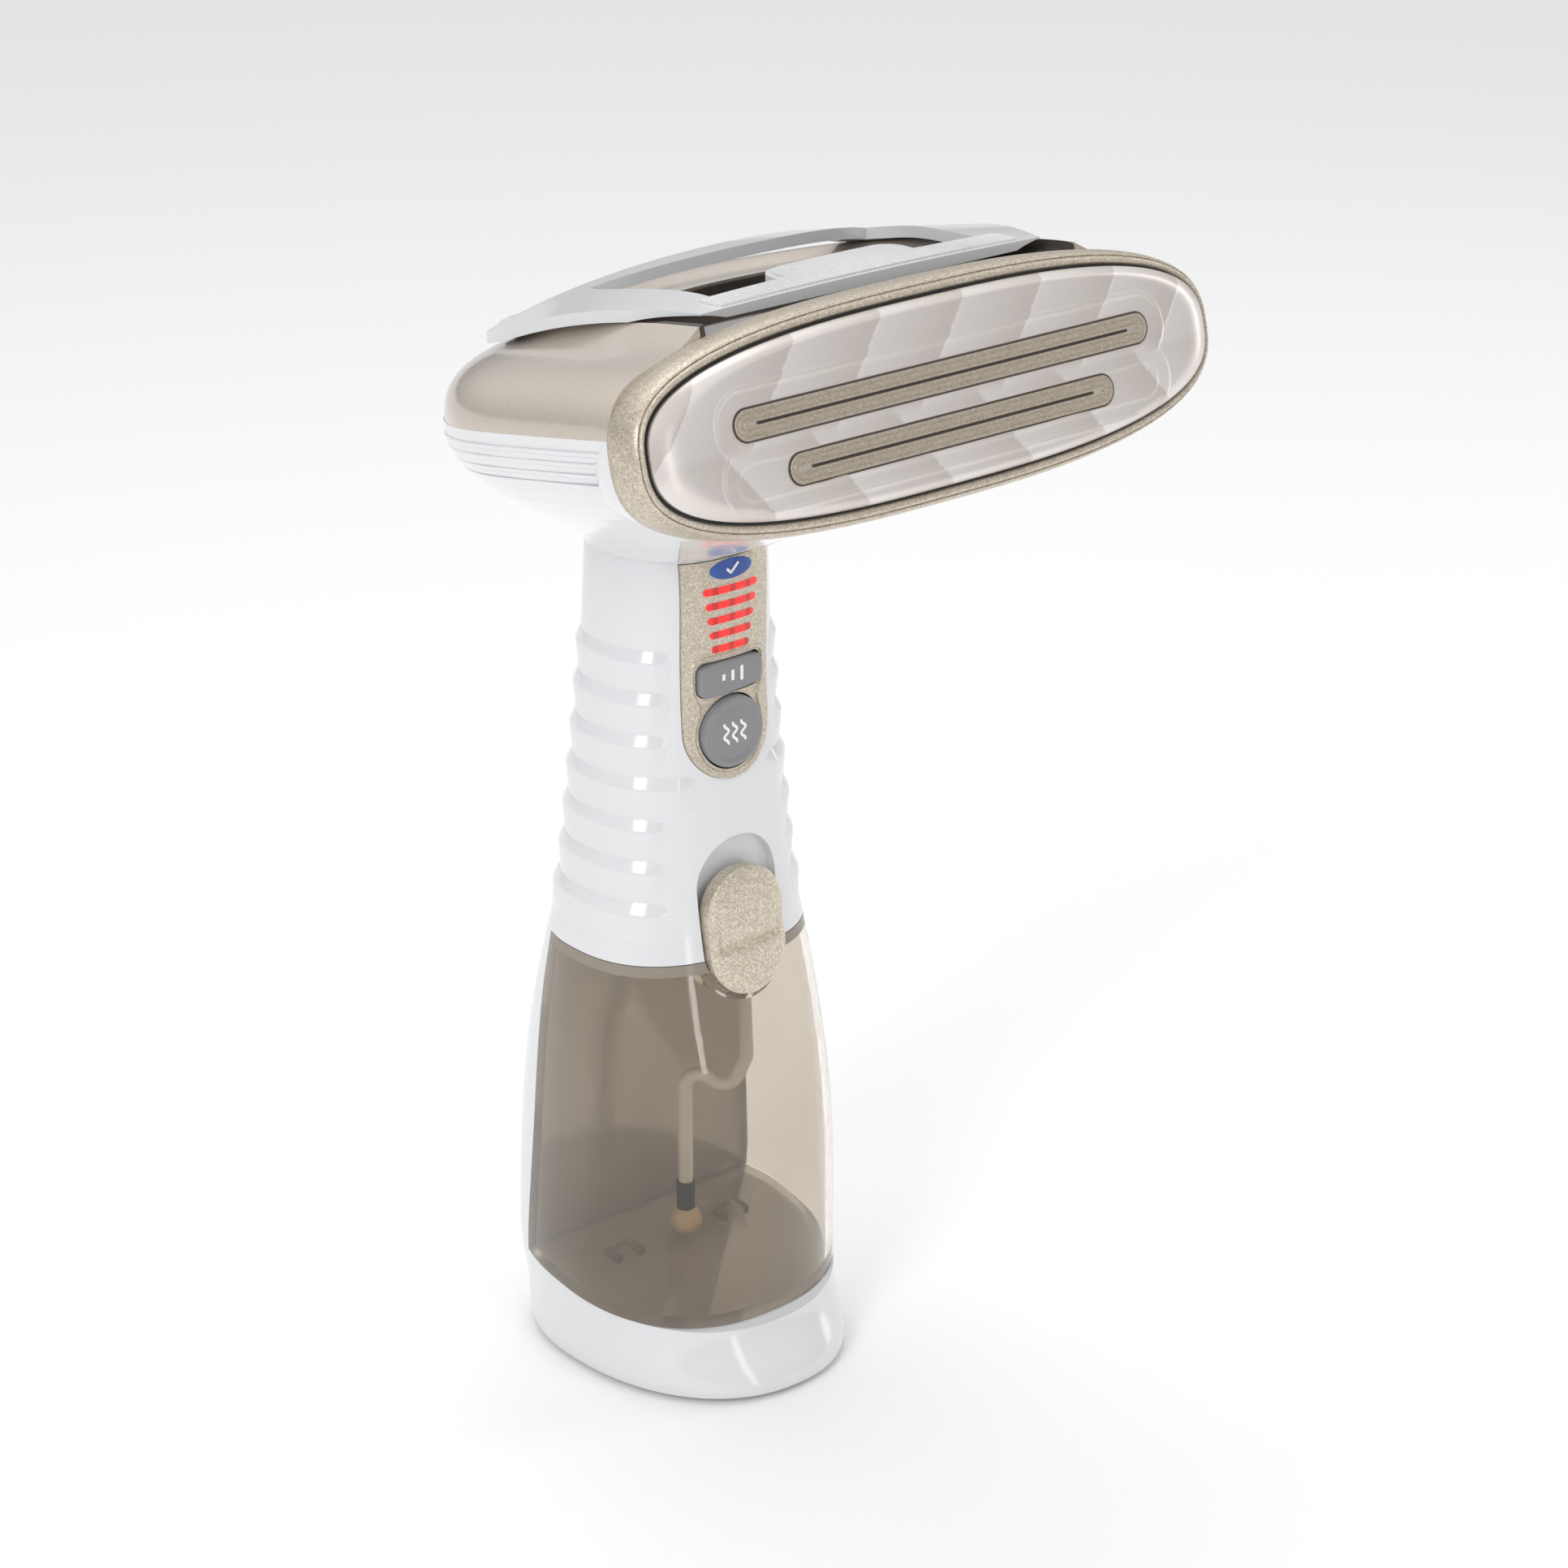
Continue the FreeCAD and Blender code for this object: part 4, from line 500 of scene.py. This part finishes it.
bar_profile = [(0.0, 0.9), (3.8, 0.9), (3.8, -0.78), (3.62, -0.94), (3.0, -0.94), (2.9, -0.82), (2.7, -0.82),
               (2.6, -0.94), (1.45, -0.94), (1.35, -0.82), (1.15, -0.82), (1.05, -0.94), (0.62, -0.94),
               (SLIT_HALF, -0.82), (SLIT_HALF, 0.5), (0.0, 0.5)]
seal_profile = [(3.75, 0.6), (3.75, -0.56), (4.15, -0.62), (4.35, -0.56), (4.35, 0.6)]
for label, node, half, centre in (("upper", "upper_nozzle_bar", 69.5, 3.7), ("lower", "lower_nozzle_bar", 54.7, -9.8)):
    straight = half - 4.0
    bar = woven(label + "_bar_face", stadium_ring(straight, centre, bar_profile), bar_metal, "body",
                True, True, 30)
    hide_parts(node)
    # painted shade: a dark strip set into each slit and a dark ring round each bar
    slit_shade_shape = [(0.0, -0.7), (SLIT_HALF - 0.02, -0.7), (SLIT_HALF - 0.02, 0.3), (0.0, 0.3)]
    woven(label + "_steam_slit_painted_shade", stadium_ring(straight - 3.5, centre, slit_shade_shape), gap_shade_fill, "body",
          True, True, 30)
    woven(label + "_bar_gap_painted_shade", stadium_ring(straight, centre, seal_profile), gap_shade_fill, "body",
          True, True, 30)

# ---------------------------------------------------------------- bezel
# The bezel ring is a deep moulded frame round the plate: a groove holds the plate's edge,
# a rounded ridge runs round it, and the outer band meets the casing.

bezel_turn = np.linspace(0, 2 * math.pi, 361)[:-1]
bezel_profile = [(93.6, 24.3, 14.8), (93.6, 24.3, 4.6), (93.9, 24.6, 3.6), (94.25, 25.1, 3.15), (94.7, 25.7, 3.1),
                 (95.0, 26.2, 3.3), (95.15, 26.5, 3.75), (95.2, 26.65, 4.3), (95.45, 26.95, 4.0),
                 (95.8, 27.35, 4.3), (96.2, 27.8, 5.2), (96.7, 28.3, 7.0), (96.95, 28.55, 9.0),
                 (97.0, 28.6, 11.0), (96.95, 28.5, 14.2), (96.4, 28.1, 14.95)]
bezel_rows = []
for side, rise, depth in bezel_profile:
    x, y = superellipse(bezel_turn, side, rise, rise, PLATE_POWER)
    bezel_rows.append(on_head(x, y, np.full_like(x, depth)))
bezel = woven("bezel_ring", np.array(bezel_rows), metallic, "body", True, True, 40)
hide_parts("head_bezel")

# ---------------------------------------------------------------- buttons
# Both buttons are grey ABS with a satin face. The round one is dished inside a raised rim;
# the upper one is a soft-cornered bar. Plain pictograms are printed on them in white.


def satin(name, colour, roughness):
    """Satin moulded plastic with fine spark-eroded grain, about 0.25 mm."""
    made, tree, shader = finish_of(name, {"Base Color": linear(colour), "Roughness": roughness})
    place = add_node(tree, "ShaderNodeTexCoord")
    grain = add_node(tree, "ShaderNodeTexNoise", {"Scale": 3800.0, "Detail": 2.0},
                     {"Vector": place.outputs["Object"]})
    bump = add_node(tree, "ShaderNodeBump", {"Strength": 0.12, "Distance": 0.0001},
                    {"Height": grain.outputs["Fac"]})
    tree.links.new(bump.outputs["Normal"], shader.inputs["Normal"])
    return made


button_grey = satin("button_grey_abs", "#87878A", 0.34)
print_white = satin("printed_white_ink", "#F4F4F4", 0.5)


def front_y(node):
    """Front of a CAD node, in millimetres."""
    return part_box(node)[0][1] / MM


def dished(name, node, outline, middle_z, profile, body):
    """Button cap: outlines scaled by each profile row and set back by its depth, closed in the middle."""
    x, z = outline
    front = front_y(node)
    rows = [np.stack([x * scale, np.full_like(x, front + back), middle_z + z * scale], -1)
            for scale, back in profile]
    cap = woven(name, np.array(rows), button_grey, body, False, True, 35)
    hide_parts(node)
    return front


cap_turn = np.linspace(0, 2 * math.pi, 97)[:-1]
round_outline = (10.5 * np.cos(cap_turn), 10.5 * np.sin(cap_turn))
round_profile = [(0.0, 4.0), (0.985, 4.0), (0.985, 0.9), (0.965, 0.45), (0.93, 0.2), (0.87, 0.1), (0.80, 0.3),
                 (0.76, 0.55), (0.72, 0.62), (0.68, 0.55), (0.5, 0.35), (0.25, 0.28), (0.0, 0.26)]
steam_front = dished("steam_button_cap", "steam_button", round_outline, 195.0, round_profile, "steam_key")
bar_x, bar_z = superellipse(cap_turn, 11.0, 4.8, 4.8, 5.0)
bar_z = bar_z + 0.055 * bar_x * (bar_z < 0)
wedge_profile = [(0.0, 4.0), (0.985, 4.0), (0.985, 0.8), (0.965, 0.4), (0.93, 0.18), (0.86, 0.1), (0.5, 0.08),
                 (0.0, 0.06)]
setting_front = dished("setting_button_cap", "setting_button", (bar_x, bar_z), 211.3, wedge_profile,
                       "setting_key")


def printed_line(name, x, z, y, half_width, body):
    """A thin raised line of ink that follows points on a button's face."""
    along = np.stack([np.gradient(x), np.gradient(z)], -1)
    along /= np.linalg.norm(along, axis=-1, keepdims=True)
    side = np.stack([-along[:, 1], along[:, 0]], -1) * half_width
    rows = []
    for swing, back in ((-1, 0.12), (-1, -0.05), (1, -0.05), (1, 0.12)):
        rows.append(np.stack([x + swing * side[:, 0], np.full_like(x, y + back), z + swing * side[:, 1]], -1))
    return woven(name, np.array(rows).transpose(1, 0, 2), print_white, body, False, True, 40, True)


wave_z = np.linspace(-3.1, 3.1, 40)
for number, middle in enumerate((-3.0, 0.0, 3.0)):
    printed_line("steam_wave_%d" % (number + 1), middle + 0.75 * np.sin(wave_z * 1.75), 195.0 + wave_z,
                 steam_front + 0.30, 0.38, "steam_key")
for number, (middle, tall) in enumerate(((-3.2, 0.9), (0.0, 1.5), (3.2, 2.1))):
    level = np.linspace(-tall, tall, 12)
    printed_line("setting_mark_%d" % (number + 1), middle + 0 * level, 211.5 + level, setting_front + 0.06, 0.5,
                 "setting_key")

# ---------------------------------------------------------------- indicator lenses
# Five red bars and a blue oval are clear acrylic, lit from behind through ribbed light
# guides, so each bar shows brighter and darker blocks.


def lens(name, colour, dark, glow, blocks):
    """Coloured acrylic with soft darker blocks across its width, about 3 mm each."""
    made, tree, shader = finish_of(name, {"Roughness": 0.16, "Coat Weight": 0.5, "IOR": 1.49,
                                          "Emission Strength": glow})
    place = add_node(tree, "ShaderNodeTexCoord")
    bands = add_node(tree, "ShaderNodeTexWave", {"Scale": blocks, "Distortion": 1.2, "Detail": 1.0},
                     {"Vector": place.outputs["Object"]})
    ramp = add_node(tree, "ShaderNodeValToRGB", None, {"Fac": bands.outputs["Color"]})
    ramp.color_ramp.elements[0].position = 0.18
    ramp.color_ramp.elements[0].color = linear(dark)
    ramp.color_ramp.elements[1].position = 0.42
    ramp.color_ramp.elements[1].color = linear(colour)
    tree.links.new(ramp.outputs["Color"], shader.inputs["Base Color"])
    tree.links.new(ramp.outputs["Color"], shader.inputs["Emission Color"])
    return made


wear_it(lens("red_acrylic_lens", "#FF1208", "#A80703", 0.55, 55.0), "indicator_bars")
wear_it(lens("blue_acrylic_lens", "#1F4FA8", "#1B4391", 0.15, 10.0), "ready_lens")
tick_x = np.concatenate([np.linspace(-1.9, -0.5, 8), np.linspace(-0.4, 2.1, 14)])
tick_z = np.concatenate([np.linspace(0.1, -1.2, 8), np.linspace(-1.15, 1.35, 14)])
printed_line("ready_tick", tick_x, 242.4 + tick_z, front_y("ready_lens") + 0.02, 0.36, "body")

# ---------------------------------------------------------------- panel ridge
# A rounded ridge on the panel runs round both buttons in one closed keyhole loop.

ridge_turn = np.linspace(-math.pi * 1.22, math.pi * 0.22, 60)
ridge_low = np.stack([12.2 * np.cos(ridge_turn), 195.0 + 12.2 * np.sin(ridge_turn)], -1)
top_turn = np.linspace(-0.1 * math.pi, 1.1 * math.pi, 70)
top_x, top_z = superellipse(top_turn, 12.5, 6.4, 6.4, 5.0)
ridge_path = np.concatenate([ridge_low, np.stack([top_x, 211.3 + top_z], -1)])
for _ in range(3):
    ridge_path = (np.roll(ridge_path, 1, 0) + ridge_path + np.roll(ridge_path, -1, 0)) / 3
ridge_out = np.roll(ridge_path, -1, 0) - np.roll(ridge_path, 1, 0)
ridge_out /= np.linalg.norm(ridge_out, axis=1, keepdims=True)
ridge_side = np.stack([ridge_out[:, 1], -ridge_out[:, 0]], -1)


def on_front(x, z, proud):
    """Point on the front of the body at x and height z, standing proud by an amount."""
    rows = smooth_rows([row[0] for row in BODY_ROWS], [row[1:] for row in BODY_ROWS], z)
    side, reach = rows[..., 0] + 0.5, rows[..., 1] + 0.5
    y = reach * (1 - np.abs(x / side) ** 2.4) ** (1 / 2.4)
    return np.stack([x, BODY_Y - y - proud, z], -1)


ridge_rows = []
for swing, proud in ((-0.75, -0.3), (-0.55, 0.12), (-0.25, 0.42), (0.25, 0.42), (0.55, 0.12), (0.75, -0.3)):
    ridge_rows.append(on_front(ridge_path[:, 0] + swing * ridge_side[:, 0],
                               ridge_path[:, 1] + swing * ridge_side[:, 1], proud))
woven("panel_ridge", np.array(ridge_rows), metallic, "body", True, True, 60)

# ---------------------------------------------------------------- water tank
# The tank is smoked SAN with 2 mm walls, polished inside and out, so light bends through it
# and darkens where it passes more wall.

smoked, smoked_tree, smoked_shader = finish_of("smoked_san", {"Base Color": linear("#EAE3D9"), "Roughness": 0.02,
                                                             "IOR": 1.12, "Transmission Weight": 1.0,
                                                             "Specular IOR Level": 0.6, "Coat Weight": 1.0,
                                                             "Coat Roughness": 0.02})
smoked_place = add_node(smoked_tree, "ShaderNodeTexCoord")
smoked_flow = add_node(smoked_tree, "ShaderNodeTexNoise", {"Scale": 60.0, "Detail": 1.0},
                       {"Vector": smoked_place.outputs["Object"]})
smoked_bump = add_node(smoked_tree, "ShaderNodeBump", {"Strength": 0.03, "Distance": 0.0004},
                       {"Height": smoked_flow.outputs["Fac"]})
smoked_tree.links.new(smoked_bump.outputs["Normal"], smoked_shader.inputs["Normal"])
wear_it(smoked, "tank_body", "tank_floor_clips")
lid_smoke, lid_tree, lid_shader = finish_of("smoked_san_lid", {"Base Color": linear("#B3A99B"), "Roughness": 0.12,
                                                              "IOR": 1.3, "Transmission Weight": 0.35})
lid_place = add_node(lid_tree, "ShaderNodeTexCoord")
lid_flow = add_node(lid_tree, "ShaderNodeTexNoise", {"Scale": 80.0}, {"Vector": lid_place.outputs["Object"]})
lid_tree.links.new(add_node(lid_tree, "ShaderNodeBump", {"Strength": 0.04, "Distance": 0.0004},
                            {"Height": lid_flow.outputs["Fac"]}).outputs["Normal"], lid_shader.inputs["Normal"])
wear_it(lid_smoke, "tank_lid")

silicone, silicone_tree, silicone_shader = finish_of("clear_silicone_tube", {"Base Color": linear("#E9E4DA"),
                                                                            "Roughness": 0.25,
                                                                            "Transmission Weight": 0.45})
silicone_grain = add_node(silicone_tree, "ShaderNodeTexNoise", {"Scale": 300.0})
silicone_tree.links.new(add_node(silicone_tree, "ShaderNodeBump", {"Strength": 0.04, "Distance": 0.0002},
                                 {"Height": silicone_grain.outputs["Fac"]}).outputs["Normal"],
                        silicone_shader.inputs["Normal"])
wear_it(silicone, "water_tube", "suction_tube", "delivery_tube", "indicator_lamps")
wear_it(satin("dark_moulded_rubber", "#2B2A29", 0.62), "tube_sleeve", "cord_inlet_bushing", "rubber_feet",
        "dock_seal", "fill_plug", "pump_cushion", "plate_gasket")
wear_it(satin("sintered_filter", "#B79F7C", 0.7), "filter_ball")

# ---------------------------------------------------------------- top window and frame
# Under the lever frame the hood is closed by a dark smoked window. The frame itself is white
# ABS; its grip pad is moulded with rows of small dots, their tops painted lighter as painted
# highlight and the ground between them painted greyer as painted shade.

window_dark, window_tree, window_shader = finish_of("smoked_window_pc", {"Base Color": linear("#8A8078"),
                                                                         "Roughness": 0.04,
                                                                         "Transmission Weight": 0.75, "IOR": 1.5})
window_flow = add_node(window_tree, "ShaderNodeTexNoise", {"Scale": 50.0})
window_tree.links.new(add_node(window_tree, "ShaderNodeBump", {"Strength": 0.02, "Distance": 0.0003},
                               {"Height": window_flow.outputs["Fac"]}).outputs["Normal"],
                      window_shader.inputs["Normal"])
wear_it(window_dark, "top_window")
wear_it(moulded_white("frame_white_abs", "#DDDEE0", 0.22), "top_frame", "frame_hinge_ears")

pad_white, pad_tree, pad_shader = finish_of("dotted_pad_abs_painted_shade", {"Roughness": 0.45})
pad_place = add_node(pad_tree, "ShaderNodeTexCoord")
pad_dots = add_node(pad_tree, "ShaderNodeTexVoronoi", {"Scale": 720.0, "Randomness": 0.15},
                    {"Vector": pad_place.outputs["Object"]})
# painted highlight and shade: dot centres lighter, the ground between the dots greyer
pad_dot_shade_ramp = add_node(pad_tree, "ShaderNodeValToRGB", None, {"Fac": pad_dots.outputs["Distance"]})
pad_dot_shade_ramp.color_ramp.elements[0].color = linear("#F3F3F2")
pad_dot_shade_ramp.color_ramp.elements[1].position = 0.7
pad_dot_shade_ramp.color_ramp.elements[1].color = linear("#C9CACB")
pad_tree.links.new(pad_dot_shade_ramp.outputs["Color"], pad_shader.inputs["Base Color"])
pad_bump = add_node(pad_tree, "ShaderNodeBump", {"Strength": 0.8, "Distance": 0.0005, "invert": True},
                    {"Height": pad_dots.outputs["Distance"]})
pad_tree.links.new(pad_bump.outputs["Normal"], pad_shader.inputs["Normal"])
wear_it(pad_white, "frame_grip_pad")
wear_it(satin("post_grey_abs", "#B9BBBD", 0.4), "frame_post")

# ---------------------------------------------------------------- works inside
# Castings, sheet steel, brass and board material: all behind the casing, finished plainly
# but each as its own stuff.


def metal(name, colour, roughness, grain, strength):
    """Bare metal, roughened by casting or plating, with its grain as a shallow bump."""
    made, tree, shader = finish_of(name, {"Base Color": linear(colour), "Metallic": 1.0, "Roughness": roughness})
    place = add_node(tree, "ShaderNodeTexCoord")
    noise = add_node(tree, "ShaderNodeTexNoise", {"Scale": grain, "Detail": 4.0},
                     {"Vector": place.outputs["Object"]})
    bump = add_node(tree, "ShaderNodeBump", {"Strength": strength, "Distance": 0.0003},
                    {"Height": noise.outputs["Fac"]})
    tree.links.new(bump.outputs["Normal"], shader.inputs["Normal"])
    return made


wear_it(metal("die_cast_aluminium", "#B5B6B8", 0.5, 900.0, 0.3), "steam_chamber", "chamber_lid")
wear_it(metal("zinc_plated_steel", "#A9AAAC", 0.3, 1500.0, 0.1), "base_screws", "handle_screws", "chamber_screws",
        "latch_spring", "heat_shield", "heating_element", "thermal_fuse", "frame_hinge_pins")
wear_it(metal("turned_brass", "#C29A4E", 0.28, 1800.0, 0.1), "chamber_inlet")
wear_it(metal("enamelled_copper_winding", "#8E4E2C", 0.35, 2600.0, 0.4), "pump_coil")
wear_it(satin("black_nylon", "#161617", 0.5), "pump_body", "thermostat", "terminal_block",
        "tact_switches")
wear_it(satin("green_solder_mask", "#1D5B38", 0.35), "control_board")
wear_it(satin("red_silicone_sleeve", "#8C2A22", 0.5), "wiring")
